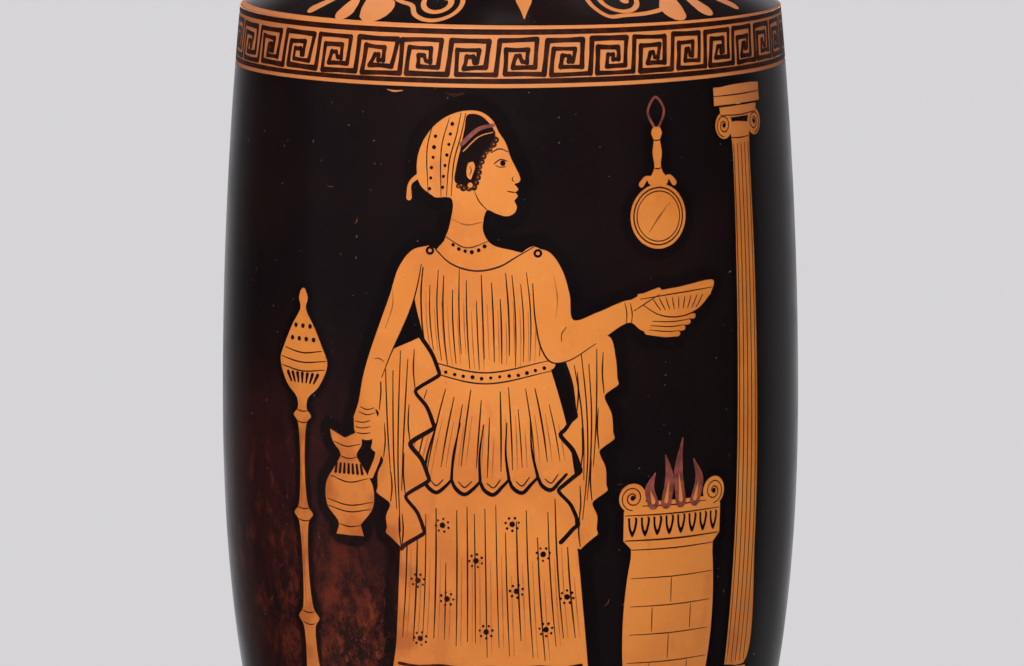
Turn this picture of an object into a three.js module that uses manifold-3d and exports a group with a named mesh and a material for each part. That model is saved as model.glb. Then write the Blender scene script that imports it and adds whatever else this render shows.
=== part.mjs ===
// A tall one-handled oil vase of fired clay: a Greek cylinder lekythos.
// Millimetres, +Z up. The origin is the middle of the circle that the foot stands on.
// The picture side faces -Y and the handle stands at the back, on +Y.
// The vessel is put together as a potter does it: sections thrown apart on the wheel, luted seat to seat.
import * as THREE from "three";
import { mergeVertices } from "three/addons/utils/BufferGeometryUtils.js";
import Module from "manifold-3d";

// Foot: a thick disc in two degrees with a groove between them, hollowed underneath to a shallow cone
const footRadius = 43.5;
const footHeight = 16;
const lowerDegreeHeight = 7.8;
const upperDegreeHeight = 4.2;
const footStepBack = 1.5;
const grooveWidth = 1.2;
const grooveDepth = 1.1;
const footBevel = 1.6;
const footSideSwell = 0.2;
const upperEdgeInset = 0.5;
const upperEdgeSwell = 0.4;
const footTopCrown = 0.2;
const footTopRise = 0.5;
const footSeatSpread = 2;
const footSeatDip = 0.8;
const standingRingWidth = 6;
const footHollow = 7.5;

// Body: a slightly swelling cylinder that rounds in to a short stem
const bodyRadius = 67.2;
const bodyHeight = 210;
const widestHeight = 117.1;
const rimRadius = 62.8;
const stemRadius = 26;
const bodyWall = 5;
const floorThickness = 8;
const swellPower = 1.95;
const taperPower = 2.1;
const taperRoot = 2.8;

// Shoulder: a flat dome with a sharp outer edge and an upturned middle
const shoulderRise = 25;
const shoulderWall = 4.6;
const shoulderEdgeSlope = 38;
const shoulderTopSlope = 42;

// Neck: a narrow tube with a waist
const neckHeight = 64;
const neckBaseRadius = 16.6;
const neckWaistRadius = 13.2;
const neckTopRadius = 14.8;
const boreRadius = 9.4;

// Mouth: a deep flaring cup with a flat lip
const mouthHeight = 46;
const mouthOverhang = 2.2;
const mouthBellyRadius = 25.6;
const lipRadius = 35.5;
const lipHeight = 3.6;
const lipWidth = 5.2;
const mouthWall = 5;
const cupDepth = 37;
const lipRounding = 0.8;
const lipUndercut = 3;
const bellyStartInset = 2;
const bellyLean = 0.8;
const flareStartSpread = 1;

// Handle: a strap of oval section from the shoulder up and over to the neck
const handleWidth = 17;
const handleThickness = 8.4;
const handleStance = 45;
const handleReach = 52;
const handleTopDrop = 8;
const handleFlareFactor = 1.35;
const handleRootDepth = 7;
const handleRootInset = 3;
const handleSpringHeight = 9;
const handleSpringReach = 1.5;
const handleBackInset = 1;
const handleBendDrop = 1.5;
const handleCrestRise = 0.5;
const handleEndDrop = 4;
const handleEndDepth = 4;

// Coils of clay round the two joints
const coilHeight = 3;
const coilWidth = 3.6;

// Clearance between pieces that are set against a curved neighbour
const seatGap = 0.3;

// Facets
const turnFacets = 52;
const handleSteps = 22;
const handleSides = 16;

const clay = { color: 0xd0813f, roughness: 0.62, metalness: 0 };
const blackGloss = { color: 0x15100f, roughness: 0.22, metalness: 0 };

// Heights of the seats where one section stands on the next
const footTop = footHeight;
const bodyStart = footTop + coilHeight + seatGap;
const bodyTop = bodyStart + bodyHeight;
const shoulderTop = bodyTop + shoulderRise;
const neckTop = shoulderTop + neckHeight;
const mouthTop = neckTop + mouthHeight;

// Outer edges of the flat seats
const footSeatRadius = stemRadius + seatGap + coilWidth;
const neckSeatRadius = neckBaseRadius + seatGap + coilWidth;
const mouthSeatRadius = neckTopRadius + mouthOverhang;

const wasm = await Module();
wasm.setup();

const point = (radius, height) => new THREE.Vector2(radius, height);
const mix = (a, b, t) => a + (b - a) * t;

// Evenly spaced samples of a curve, both ends included.
const sampled = (curve, steps) => curve.getPoints(steps);

function bezier(from, leaveBy, arriveBy, to, steps) {
  return sampled(new THREE.CubicBezierCurve(from, leaveBy, arriveBy, to), steps);
}

// A closed profile turned round the Z axis. Its points run anticlockwise in the (radius, height) plane.
function turned(profile) {
  const tidy = profile.filter((p, i) => i === 0 || p.distanceTo(profile[i - 1]) > 1e-6);
  return new THREE.LatheGeometry(tidy, turnFacets).rotateX(Math.PI / 2);
}

// Radius of a cylinder-like wall that swells from the rim to its widest circle and rounds in below it.
function wallRadius(height, low, widest, high, lowRadius, wideRadius, highRadius) {
  if (height >= widest) {
    const rise = (height - widest) / (high - widest);
    return wideRadius - (wideRadius - highRadius) * rise ** swellPower;
  }
  const fall = Math.min(1, (widest - height) / (widest - low));
  return mix(lowRadius, wideRadius, (1 - fall ** taperPower) ** (1 / taperRoot));
}

const widest = bodyStart + widestHeight;
const outsideRadius = (z) =>
  wallRadius(z, bodyStart, widest, bodyTop, stemRadius, bodyRadius, rimRadius);

// Heights from low to high, crowded towards the low end where the wall curves most.
function wallHeights(low, high, steps) {
  return Array.from({ length: steps + 1 }, (_, i) => low + (high - low) * (i / steps) ** 1.7);
}

function footProfile() {
  const hollowEdge = footRadius - footBevel - standingRingWidth;
  const grooveRadius = footRadius - footStepBack - grooveDepth;
  const upperStart = lowerDegreeHeight + grooveWidth;
  const upperRadius = footRadius - footStepBack;
  return [
    point(0, footHollow),
    ...bezier(
      point(stemRadius * 0.5, footHollow),
      point(stemRadius, footHollow),
      point(hollowEdge - footBevel, footHollow * 0.5),
      point(hollowEdge, 0),
      5,
    ),
    point(footRadius - footBevel, 0),
    ...bezier(
      point(footRadius - footBevel * 0.4, footBevel * 0.6),
      point(footRadius + footSideSwell, lowerDegreeHeight * 0.4),
      point(footRadius + footSideSwell, lowerDegreeHeight * 0.8),
      point(footRadius - footStepBack * 0.7, lowerDegreeHeight),
      4,
    ),
    point(grooveRadius, lowerDegreeHeight),
    point(grooveRadius, upperStart),
    ...bezier(
      point(upperRadius - upperEdgeInset, upperStart),
      point(upperRadius + upperEdgeSwell, upperStart + upperDegreeHeight * 0.3),
      point(upperRadius, upperStart + upperDegreeHeight * 0.8),
      point(upperRadius - footStepBack * 2, upperStart + upperDegreeHeight),
      4,
    ),
    ...bezier(
      point(upperRadius - footStepBack * 2.6, upperStart + upperDegreeHeight + footTopCrown),
      point(mix(footRadius, footSeatRadius, 0.6), upperStart + upperDegreeHeight + footTopRise),
      point(footSeatRadius + footSeatSpread, footTop - footSeatDip),
      point(footSeatRadius, footTop),
      4,
    ),
    point(0, footTop),
  ];
}

function bodyProfile() {
  const floor = bodyStart + floorThickness;
  const insideRadius = (z) =>
    wallRadius(z, floor, widest, bodyTop, stemRadius * 0.5, bodyRadius - bodyWall, rimRadius - bodyWall);
  const outside = wallHeights(bodyStart, bodyTop, 16).map((z) => point(outsideRadius(z), z));
  const inside = wallHeights(floor, bodyTop, 11).map((z) => point(insideRadius(z), z));
  return [point(0, footTop), point(stemRadius, footTop), ...outside, ...inside.reverse(), point(0, floor)];
}

// The shoulder's outer line, from its edge in to the seat of the neck.
function shoulderLine(steps, lift = 0) {
  const span = rimRadius - neckSeatRadius;
  const edgeLean = THREE.MathUtils.degToRad(shoulderEdgeSlope);
  const topLean = THREE.MathUtils.degToRad(shoulderTopSlope);
  const reach = span * 0.26;
  return bezier(
    point(rimRadius + lift, bodyTop),
    point(rimRadius + lift - reach * Math.cos(edgeLean), bodyTop + lift + reach * Math.sin(edgeLean)),
    point(neckSeatRadius + reach * Math.cos(topLean), shoulderTop + lift - reach * Math.sin(topLean)),
    point(neckSeatRadius, shoulderTop + lift),
    steps,
  );
}

function shoulderProfile() {
  const innerEdge = rimRadius - bodyWall;
  const throat = shoulderTop - shoulderWall * 1.3;
  return [
    point(innerEdge, bodyTop),
    ...shoulderLine(9),
    point(boreRadius, shoulderTop),
    ...bezier(
      point(boreRadius, throat),
      point(neckSeatRadius, throat - shoulderWall * 0.6),
      point(innerEdge * 0.72, bodyTop + shoulderWall * 1.3),
      point(innerEdge, bodyTop),
      7,
    ),
  ];
}

// Two eased stretches: the base draws in to the waist, and the top opens out again.
function neckRadiusAt(share) {
  const waist = 0.62;
  const away = share < waist ? 1 - share / waist : (share - waist) / (1 - waist);
  const end = share < waist ? neckBaseRadius : neckTopRadius;
  return mix(neckWaistRadius, end, away ** 2);
}

function neckProfile() {
  const steps = 9;
  const outside = Array.from({ length: steps + 1 }, (_, i) =>
    point(neckRadiusAt(i / steps), mix(shoulderTop, neckTop, i / steps)),
  );
  return [
    point(boreRadius, shoulderTop),
    ...outside,
    point(boreRadius, neckTop),
    point(boreRadius, mix(shoulderTop, neckTop, 0.5)),
    point(boreRadius, shoulderTop),
  ];
}

// The cup's outer line: a round belly at the bottom and a slow outward flare up to the lip.
function mouthSide() {
  const shoulderOfCup = point(mouthBellyRadius, neckTop + mouthHeight * 0.42);
  const belly = bezier(
    point(mouthSeatRadius, neckTop),
    point(mouthBellyRadius - bellyStartInset, neckTop + mouthHeight * 0.02),
    point(mouthBellyRadius - bellyLean, neckTop + mouthHeight * 0.24),
    shoulderOfCup,
    6,
  );
  const flare = bezier(
    shoulderOfCup,
    point(mouthBellyRadius + flareStartSpread, neckTop + mouthHeight * 0.64),
    point(lipRadius - lipUndercut, mouthTop - lipHeight - mouthHeight * 0.14),
    point(lipRadius - lipRounding, mouthTop - lipHeight),
    5,
  );
  return [...belly, ...flare];
}

function mouthProfile() {
  const cupFloor = mouthTop - cupDepth;
  const lipInside = lipRadius - lipWidth;
  return [
    point(boreRadius, neckTop),
    ...mouthSide(),
    point(lipRadius, mouthTop - lipHeight + lipRounding),
    point(lipRadius, mouthTop - lipRounding),
    point(lipRadius - lipRounding, mouthTop),
    point(lipInside + lipRounding, mouthTop),
    ...bezier(
      point(lipInside, mouthTop - lipRounding),
      point(mouthBellyRadius - mouthWall, mouthTop - cupDepth * 0.36),
      point(mouthBellyRadius - mouthWall, cupFloor + cupDepth * 0.1),
      point(boreRadius, cupFloor),
      8,
    ),
    point(boreRadius, neckTop),
  ];
}

// A half-round coil laid on a flat seat, hugging what stands inside it.
function coilProfile(hugged, seat) {
  const inside = hugged + seatGap;
  const flat = inside + coilWidth * 0.55;
  return [
    point(inside, seat),
    ...bezier(
      point(flat, seat),
      point(inside + coilWidth * 1.15, seat),
      point(inside + coilWidth * 1.15, seat + coilHeight),
      point(flat, seat + coilHeight),
      6,
    ),
    point(inside, seat + coilHeight),
    point(inside, seat),
  ];
}

// The handle's middle line, in the YZ plane: both ends run on into the walls, where they are cut to fit.
function handleLine() {
  const stanceHeight = bodyTop + shoulderRise * 0.36;
  const top = neckTop - handleTopDrop;
  const inward = neckWaistRadius - handleEndDepth;
  const turnIn = handleReach - inward;
  const at = (y, z) => new THREE.Vector3(0, y, z);
  return new THREE.CatmullRomCurve3(
    [
      at(handleStance - handleRootInset, stanceHeight - handleRootDepth),
      at(handleStance + handleSpringReach, stanceHeight + handleSpringHeight),
      at(handleReach - handleBackInset, mix(stanceHeight, top, 0.48)),
      at(handleReach - turnIn * 0.06, mix(stanceHeight, top, 0.78)),
      at(handleReach - turnIn * 0.3, top - handleBendDrop),
      at(handleReach - turnIn * 0.62, top + handleCrestRise),
      at(inward, top - handleEndDrop),
    ],
    false,
    "centripetal",
  );
}

// A closed loft of oval sections along the handle's line, spread where it meets the walls.
function handleLoft() {
  const line = handleLine();
  const across = new THREE.Vector3(1, 0, 0);
  const positions = [];
  const index = [];
  for (let i = 0; i <= handleSteps; i++) {
    const t = i / handleSteps;
    const centre = line.getPointAt(t);
    const outward = new THREE.Vector3().crossVectors(across, line.getTangentAt(t)).negate();
    const spread = mix(1, handleFlareFactor, Math.abs(2 * t - 1) ** 5);
    for (let j = 0; j < handleSides; j++) {
      const turn = (2 * Math.PI * j) / handleSides;
      const wide = (handleWidth / 2) * spread * Math.cos(turn);
      const deep = (handleThickness / 2) * spread * Math.sin(turn);
      const place = centre.clone().addScaledVector(across, wide).addScaledVector(outward, deep);
      positions.push(place.x, place.y, place.z);
    }
  }
  const corner = (i, j) => i * handleSides + (j % handleSides);
  for (let i = 0; i < handleSteps; i++) {
    for (let j = 0; j < handleSides; j++) {
      index.push(corner(i, j), corner(i, j + 1), corner(i + 1, j));
      index.push(corner(i, j + 1), corner(i + 1, j + 1), corner(i + 1, j));
    }
  }
  for (let j = 1; j < handleSides - 1; j++) {
    index.push(corner(0, 0), corner(0, j + 1), corner(0, j));
    index.push(corner(handleSteps, 0), corner(handleSteps, j), corner(handleSteps, j + 1));
  }
  const geometry = new THREE.BufferGeometry();
  geometry.setAttribute("position", new THREE.Float32BufferAttribute(positions, 3));
  geometry.setIndex(index);
  return geometry;
}

function toSolid(geometry) {
  const bare = geometry.clone();
  bare.deleteAttribute("normal");
  bare.deleteAttribute("uv");
  const merged = mergeVertices(bare, 1e-4);
  const vertProperties = new Float32Array(merged.attributes.position.array);
  const triVerts = new Uint32Array(merged.index.array);
  return new wasm.Manifold(new wasm.Mesh({ numProp: 3, vertProperties, triVerts }));
}

function toGeometry(solid) {
  const mesh = solid.getMesh();
  const geometry = new THREE.BufferGeometry();
  geometry.setAttribute("position", new THREE.BufferAttribute(new Float32Array(mesh.vertProperties), 3));
  geometry.setIndex(new THREE.BufferAttribute(new Uint32Array(mesh.triVerts), 1));
  geometry.computeVertexNormals();
  return geometry;
}

// Shoulder and neck, filled and grown by the seat's clearance: the handle's ends are cut to this.
function handleSeats() {
  const shoulder = toSolid(
    turned([point(0, bodyTop - bodyWall * 3), point(rimRadius + seatGap, bodyTop - bodyWall * 3)]
      .concat(shoulderLine(9, seatGap), [point(0, shoulderTop + seatGap)])),
  );
  const steps = 9;
  const neckSide = Array.from({ length: steps + 1 }, (_, i) =>
    point(neckRadiusAt(i / steps) + seatGap, mix(shoulderTop, neckTop, i / steps)),
  );
  const neck = toSolid(turned([point(0, shoulderTop), ...neckSide, point(0, neckTop)]));
  return shoulder.add(neck);
}

function handleGeometry() {
  return toGeometry(toSolid(handleLoft()).subtract(handleSeats()));
}

const vase = new THREE.Group();

function addPiece(name, geometry, finish) {
  const mesh = new THREE.Mesh(geometry, new THREE.MeshStandardMaterial(finish));
  mesh.name = name;
  vase.add(mesh);
}

addPiece("foot", turned(footProfile()), clay);
addPiece("foot_fillet", turned(coilProfile(stemRadius, footTop)), clay);
addPiece("body", turned(bodyProfile()), blackGloss);
addPiece("shoulder", turned(shoulderProfile()), blackGloss);
addPiece("neck_fillet", turned(coilProfile(neckBaseRadius, shoulderTop)), clay);
addPiece("neck", turned(neckProfile()), blackGloss);
addPiece("mouth", turned(mouthProfile()), blackGloss);
addPiece("handle", handleGeometry(), blackGloss);

export default vase;
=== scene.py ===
# The dressed look of a tall red-figure oil flask: fired clay, a black gloss coat with the drawing
# left open in it, and raised lines. Sizes are millimetres until a mesh is made, then metres.
import math
import random

import bpy
import numpy as np
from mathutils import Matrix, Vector
from mathutils.geometry import delaunay_2d_cdt


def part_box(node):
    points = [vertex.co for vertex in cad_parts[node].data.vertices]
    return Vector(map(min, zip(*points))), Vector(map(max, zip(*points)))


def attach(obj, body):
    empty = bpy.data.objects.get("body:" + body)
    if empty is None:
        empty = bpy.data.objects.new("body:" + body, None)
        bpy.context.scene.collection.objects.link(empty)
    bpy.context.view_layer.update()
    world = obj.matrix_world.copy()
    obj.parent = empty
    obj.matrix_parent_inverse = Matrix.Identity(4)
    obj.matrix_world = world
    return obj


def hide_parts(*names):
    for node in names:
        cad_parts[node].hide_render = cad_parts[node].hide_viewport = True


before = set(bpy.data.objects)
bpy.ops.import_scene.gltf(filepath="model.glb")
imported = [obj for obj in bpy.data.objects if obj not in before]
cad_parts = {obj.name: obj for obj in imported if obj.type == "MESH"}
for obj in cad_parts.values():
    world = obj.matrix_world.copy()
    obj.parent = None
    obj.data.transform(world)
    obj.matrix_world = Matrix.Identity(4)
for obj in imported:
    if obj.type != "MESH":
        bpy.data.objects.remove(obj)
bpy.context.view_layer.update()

MM = 0.001
rng = random.Random(7)

# Heights of the sections, read from the frame
FOOT_TOP, BODY_TOP, SHOULDER_TOP, NECK_TOP, MOUTH_TOP = (
    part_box(node)[1][2] / MM for node in ("foot", "body", "shoulder", "neck", "mouth")
)

# The same driving sizes as the frame's solids
FOOT_RADIUS = 43.5
LOWER_DEGREE = 7.8
UPPER_DEGREE = 4.2
FOOT_STEP_BACK = 1.5
GROOVE_WIDTH = 1.2
GROOVE_DEPTH = 1.1
FOOT_BEVEL = 1.6
STANDING_RING = 6
FOOT_HOLLOW = 7.5
COIL_HEIGHT = 3
COIL_WIDTH = 3.6
SEAT_GAP = 0.3
BODY_RADIUS = 67.2
WIDEST_HEIGHT = 117.1
RIM_RADIUS = 62.8
STEM_RADIUS = 26
BODY_WALL = 5
FLOOR_THICKNESS = 8
SWELL_POWER = 1.95
TAPER_POWER = 2.1
TAPER_ROOT = 2.8
SHOULDER_WALL = 4.6
EDGE_SLOPE = math.radians(38)
TOP_SLOPE = math.radians(42)
NECK_BASE = 16.6
NECK_WAIST = 13.2
WAIST_SHARE = 0.62
NECK_END = 14.8
BORE = 9.4
MOUTH_OVERHANG = 2.2
MOUTH_BELLY = 25.6
LIP_RADIUS = 35.5
LIP_HEIGHT = 3.6
LIP_WIDTH = 5.2
LIP_ROUNDING = 0.8
MOUTH_WALL = 5
CUP_DEPTH = 37
HANDLE_WIDTH = 17
HANDLE_THICKNESS = 8.4
HANDLE_STANCE = 45
HANDLE_REACH = 52
HANDLE_TOP_DROP = 8
HANDLE_FLARE = 0.42
HANDLE_RIDGE = 0.5
HANDLE_RIDGE_WIDTH = 2.2

BODY_START = FOOT_TOP + COIL_HEIGHT + SEAT_GAP
WIDEST = BODY_START + WIDEST_HEIGHT
FOOT_SEAT = STEM_RADIUS + SEAT_GAP + COIL_WIDTH
NECK_SEAT = NECK_BASE + SEAT_GAP + COIL_WIDTH
MOUTH_SEAT = NECK_END + MOUTH_OVERHANG

# What comes this near the floor stands on it
STANDING_FLAT = 0.35

# The clay lies this far inside the frame's surface, which leaves room for what is painted on it
CLAY_INSET = 0.2
COAT = 0.08
SUNK = 0.03
RIDGE = 0.056

# The shoulder's clay reaches this far down past its sharp edge, on to the body's
RIM_JOINT = 0.5

# The drawing's flat millimetres are true at this radius
DRAWN_RADIUS = 66
GIRTH = 2 * math.pi * DRAWN_RADIUS

# Steps round a turned mesh and along a drawn line, and the steepest bend that is shaded as smooth
TURN_STEPS = 288
LINE_STEP = 0.7
SMOOTH_BEND = math.radians(40)


def mix(a, b, t):
    return a + (b - a) * t


def bezier(a, b, c, d, steps):
    t = np.linspace(0, 1, steps + 1)[:, None]
    a, b, c, d = (np.array(p, float) for p in (a, b, c, d))
    return (1 - t) ** 3 * a + 3 * (1 - t) ** 2 * t * b + 3 * (1 - t) * t**2 * c + t**3 * d


def smooth(points, step=0.8):
    """A smooth line through a few points."""
    p = np.array(points, float)
    if len(p) == 2:
        return p
    p = np.vstack([2 * p[0] - p[1], p, 2 * p[-1] - p[-2]])
    line = []
    for p0, p1, p2, p3 in zip(p, p[1:], p[2:], p[3:]):
        t1 = math.sqrt(np.linalg.norm(p1 - p0)) + 1e-9
        t2 = t1 + math.sqrt(np.linalg.norm(p2 - p1)) + 1e-9
        t3 = t2 + math.sqrt(np.linalg.norm(p3 - p2)) + 1e-9
        count = max(2, int(np.linalg.norm(p2 - p1) / step) + 1)
        t = np.linspace(t1, t2, count, endpoint=False)[:, None]
        a1 = mix(p0, p1, t / t1)
        a2 = mix(p1, p2, (t - t1) / (t2 - t1))
        a3 = mix(p2, p3, (t - t2) / (t3 - t2))
        b1 = mix(a1, a2, t / t2)
        b2 = mix(a2, a3, (t - t1) / (t3 - t1))
        line.append(mix(b1, b2, (t - t1) / (t2 - t1)))
    return np.vstack(line + [p[-2:-1]])


def lengths(line):
    """How far along a line each of its points lies."""
    return np.concatenate([[0], np.cumsum(np.linalg.norm(np.diff(line, axis=0), axis=1))])


def along(line, share):
    """The point at a share of the way along a line, or the points at several shares."""
    line = np.array(line, float)
    reached = lengths(line)
    return np.array([np.interp(share * reached[-1], reached, line[:, i]) for i in (0, 1)]).T


def normals(line, closed=False):
    """Unit normals on the right of a line."""
    if closed:
        way = np.roll(line, -1, axis=0) - np.roll(line, 1, axis=0)
    else:
        way = np.vstack([line[1:], line[-1:]]) - np.vstack([line[:1], line[:-1]])
    way /= np.maximum(np.linalg.norm(way, axis=1), 1e-9)[:, None]
    return np.column_stack([way[:, 1], -way[:, 0]])


# Profiles of the sections, as points of (radius, height)


def body_radius(z, start=BODY_START, stem=STEM_RADIUS, widest=BODY_RADIUS):
    """The radius of the body's wall at a height: the outside's, or the inside's with its own sizes."""
    rise = np.clip((z - WIDEST) / (BODY_TOP - WIDEST), 0, 1)
    fall = np.clip((WIDEST - z) / (WIDEST - start), 0, 1)
    upper = widest - (BODY_RADIUS - RIM_RADIUS) * rise**SWELL_POWER
    lower = mix(stem, widest, (1 - fall**TAPER_POWER) ** (1 / TAPER_ROOT))
    return np.where(z >= WIDEST, upper, lower)


def body_wall(low, high, steps, *sizes):
    """The wall's points, crowded together at the bottom, where it curves most."""
    crowding = 2.2
    z = mix(low, high, np.linspace(0, 1, steps + 1) ** crowding)
    return np.column_stack([body_radius(z, *sizes), z])


def shoulder_line(steps):
    reach = (RIM_RADIUS - NECK_SEAT) * 0.26
    return bezier(
        (RIM_RADIUS, BODY_TOP),
        (RIM_RADIUS - reach * math.cos(EDGE_SLOPE), BODY_TOP + reach * math.sin(EDGE_SLOPE)),
        (NECK_SEAT + reach * math.cos(TOP_SLOPE), SHOULDER_TOP - reach * math.sin(TOP_SLOPE)),
        (NECK_SEAT, SHOULDER_TOP),
        steps,
    )


SHOULDER_CURVE = shoulder_line(200)[::-1]


def shoulder_height(radius):
    return np.interp(radius, SHOULDER_CURVE[:, 0], SHOULDER_CURVE[:, 1])


# Mesh making


def new_mesh(name, verts, faces):
    mesh = bpy.data.meshes.new(name)
    mesh.from_pydata(np.array(verts) * MM, [], faces)
    mesh.shade_smooth()
    return mesh


def add_piece(mesh, look, node=None):
    """Adds a piece, which has its mesh's name and may stand for one of the frame's nodes."""
    mesh.materials.append(MATERIALS[look])
    piece = bpy.data.objects.new(mesh.name, mesh)
    bpy.context.collection.objects.link(piece)
    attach(piece, "root")
    if node:
        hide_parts(node)


def inset_profile(profile, distance):
    """The closed profile drawn in by a distance all round; it runs anticlockwise."""
    drawn = profile - normals(profile, closed=True) * distance
    drawn[profile[:, 0] < 1e-6, 0] = 0
    drawn[drawn[:, 1] < STANDING_FLAT, 1] = 0
    return drawn


def revolved(name, profile):
    """A closed mesh turned from an anticlockwise closed profile."""
    kept = [profile[0]]
    for point in profile[1:]:
        if np.linalg.norm(point - kept[-1]) > 1e-3:
            kept.append(point)
    angles = np.arange(TURN_STEPS) * 2 * math.pi / TURN_STEPS
    verts = []
    rings = []
    for radius, z in kept:
        first = len(verts)
        if radius < 1e-6:
            rings.append([first] * TURN_STEPS)
            verts.append((0, 0, z))
        else:
            rings.append(range(first, first + TURN_STEPS))
            verts.extend((radius * math.sin(turn), -radius * math.cos(turn), z) for turn in angles)
    faces = []
    for low, high in zip(rings, rings[1:] + rings[:1]):
        for i in range(TURN_STEPS):
            j = (i + 1) % TURN_STEPS
            corners = dict.fromkeys((low[i], low[j], high[j], high[i]))
            if len(corners) > 2:
                faces.append(tuple(corners))
    mesh = new_mesh(name, verts, faces)
    mesh.set_sharp_from_angle(angle=SMOOTH_BEND)
    return mesh


def clay_section(section, profile):
    """The clay of a section; it is drawn in to leave room for its coats."""
    mesh = revolved(section + "_clay", inset_profile(profile, CLAY_INSET))
    add_piece(mesh, "clay", section)


def gloss_coat(name, line):
    """A thin turned coat on a surface line whose outside is on its right."""
    out = normals(line)
    profile = np.vstack([line - out * (CLAY_INSET - COAT), (line - out * (CLAY_INSET + SUNK))[::-1]])
    add_piece(revolved(name, profile), "gloss")


def add_tube(verts, faces, loops):
    """Adds a tube through loops of equally many points, closed at both ends."""
    first, sides = len(verts), len(loops[0])
    for loop in loops:
        verts.extend(loop)
    last = len(verts) - sides
    for i in range(first, last, sides):
        for j in range(sides):
            k = (j + 1) % sides
            faces.append((i + j, i + k, i + sides + k, i + sides + j))
    faces.append(tuple(range(first, first + sides))[::-1])
    faces.append(tuple(range(last, last + sides)))


# Painting: shapes are laid over each other in one flat drawing, cut into triangles along every
# outline, and each kind of paint becomes one thin solid on the vessel's wall.


def inside(points, polygon):
    """Which points lie inside a polygon, by its winding."""
    a, b = polygon, np.roll(polygon, -1, axis=0)
    x, y = points[:, :1], points[:, 1:]
    side = (b[:, 0] - a[:, 0]) * (y - a[:, 1]) - (x - a[:, 0]) * (b[:, 1] - a[:, 1])
    up = (a[:, 1] <= y) & (b[:, 1] > y) & (side > 0)
    down = (a[:, 1] > y) & (b[:, 1] <= y) & (side < 0)
    return (up.sum(axis=1) - down.sum(axis=1)) != 0


def triangulate(domain, shapes, spacing):
    """Cuts a domain along the outlines of the shapes and says which paint each triangle shows."""
    verts = []
    edges = []
    for outline in [domain] + [polygon for _, polygon in shapes]:
        first = len(verts)
        verts.extend(outline)
        count = len(outline)
        edges.extend((first + i, first + (i + 1) % count) for i in range(count))
    across, rising = (
        np.linspace(low, high, int((high - low) / spacing) + 2)
        for low, high in zip(domain.min(axis=0), domain.max(axis=0))
    )
    grid = np.array([(x, y) for y in rising for x in across])
    grid = grid[inside(grid, domain * 0.99999 + domain.mean(axis=0) * 0.00001)]
    verts.extend(grid)
    flat, _, tris, *_ = delaunay_2d_cdt([Vector(v) for v in verts], edges, [], 0, 1e-5, False)
    flat = np.array([tuple(v) for v in flat])
    tris = np.array(tris)
    centres = flat[tris].mean(axis=1)
    shown = np.where(inside(centres, domain), 1, -1)
    for paint, polygon in shapes:
        low, high = polygon.min(axis=0), polygon.max(axis=0)
        near = np.all((centres >= low) & (centres <= high), axis=1) & (shown >= 0)
        near = np.flatnonzero(near)
        if len(near):
            shown[near[inside(centres[near], polygon)]] = paint
    return flat, tris, shown


def joined_seam(flat, tris):
    """The triangles with each corner on the right side of the seam changed for its twin on the left."""
    twin = np.arange(len(flat))
    left = np.flatnonzero(np.abs(flat[:, 0] + GIRTH / 2) < 1e-3)
    for right in np.flatnonzero(np.abs(flat[:, 0] - GIRTH / 2) < 1e-3):
        nearest = left[np.argmin(np.abs(flat[left, 1] - flat[right, 1]))]
        if abs(flat[nearest, 1] - flat[right, 1]) < 2e-3:
            twin[right] = nearest
    return twin[tris]


def paint_solid(name, flat, tris, place, lift):
    """One thin closed solid over the given triangles of the drawing."""
    used, compact = np.unique(tris, return_inverse=True)
    tris = compact.reshape(tris.shape)
    top, normal = place(flat[used], lift)
    bottom, _ = place(flat[used], -SUNK)
    count = len(used)
    directed = np.vstack([tris[:, [0, 1]], tris[:, [1, 2]], tris[:, [2, 0]]])
    keys = directed[:, 0] * count + directed[:, 1]
    back = directed[:, 1] * count + directed[:, 0]
    rim = directed[~np.isin(keys, back)]
    faces = [tuple(t) for t in tris]
    faces += [(c + count, b + count, a + count) for a, b, c in tris]
    faces += [(a, a + count, b + count, b) for a, b in rim]
    mesh = new_mesh(name, np.vstack([top, bottom]), faces)
    corners = [normal[tris].reshape(-1, 3), -normal[tris[:, ::-1]].reshape(-1, 3)]
    if len(rim):
        side = np.cross(bottom[rim[:, 0]] - top[rim[:, 0]], top[rim[:, 1]] - top[rim[:, 0]])
        side /= np.maximum(np.linalg.norm(side, axis=1), 1e-12)[:, None]
        corners.append(np.repeat(side, 4, axis=0))
    mesh.normals_split_custom_set(np.vstack(corners))
    return mesh


def lifted(way, radius, z, out, up, lift):
    """Points lifted off a turned wall, and the wall's normals; out and up give the wall's slant."""
    length = np.hypot(out, up)
    out, up = out / length, up / length
    reach = radius + (lift - CLAY_INSET) * out
    points = np.column_stack([way * reach[:, None], z + (lift - CLAY_INSET) * up])
    return points, np.column_stack([way * out[:, None], up])


def on_body(flat, lift):
    """Places drawing points (across, up from the shoulder's edge) on the body's wall."""
    angle = flat[:, 0] / DRAWN_RADIUS
    z = BODY_TOP + flat[:, 1]
    slope = (body_radius(z + 0.05) - body_radius(z - 0.05)) / 0.1
    way = np.column_stack([np.sin(angle), -np.cos(angle)])
    return lifted(way, body_radius(z), z, 1, -slope, lift)


def on_shoulder(flat, lift):
    """Places plan points on the shoulder."""
    radius = np.linalg.norm(flat, axis=1)
    slope = (shoulder_height(radius + 0.2) - shoulder_height(radius - 0.2)) / 0.4
    way = flat / np.maximum(radius, 1e-6)[:, None]
    return lifted(way, radius, shoulder_height(radius), -slope, 1, lift)


# Drawing: every shape is a polygon in flat millimetres, across and up


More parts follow.
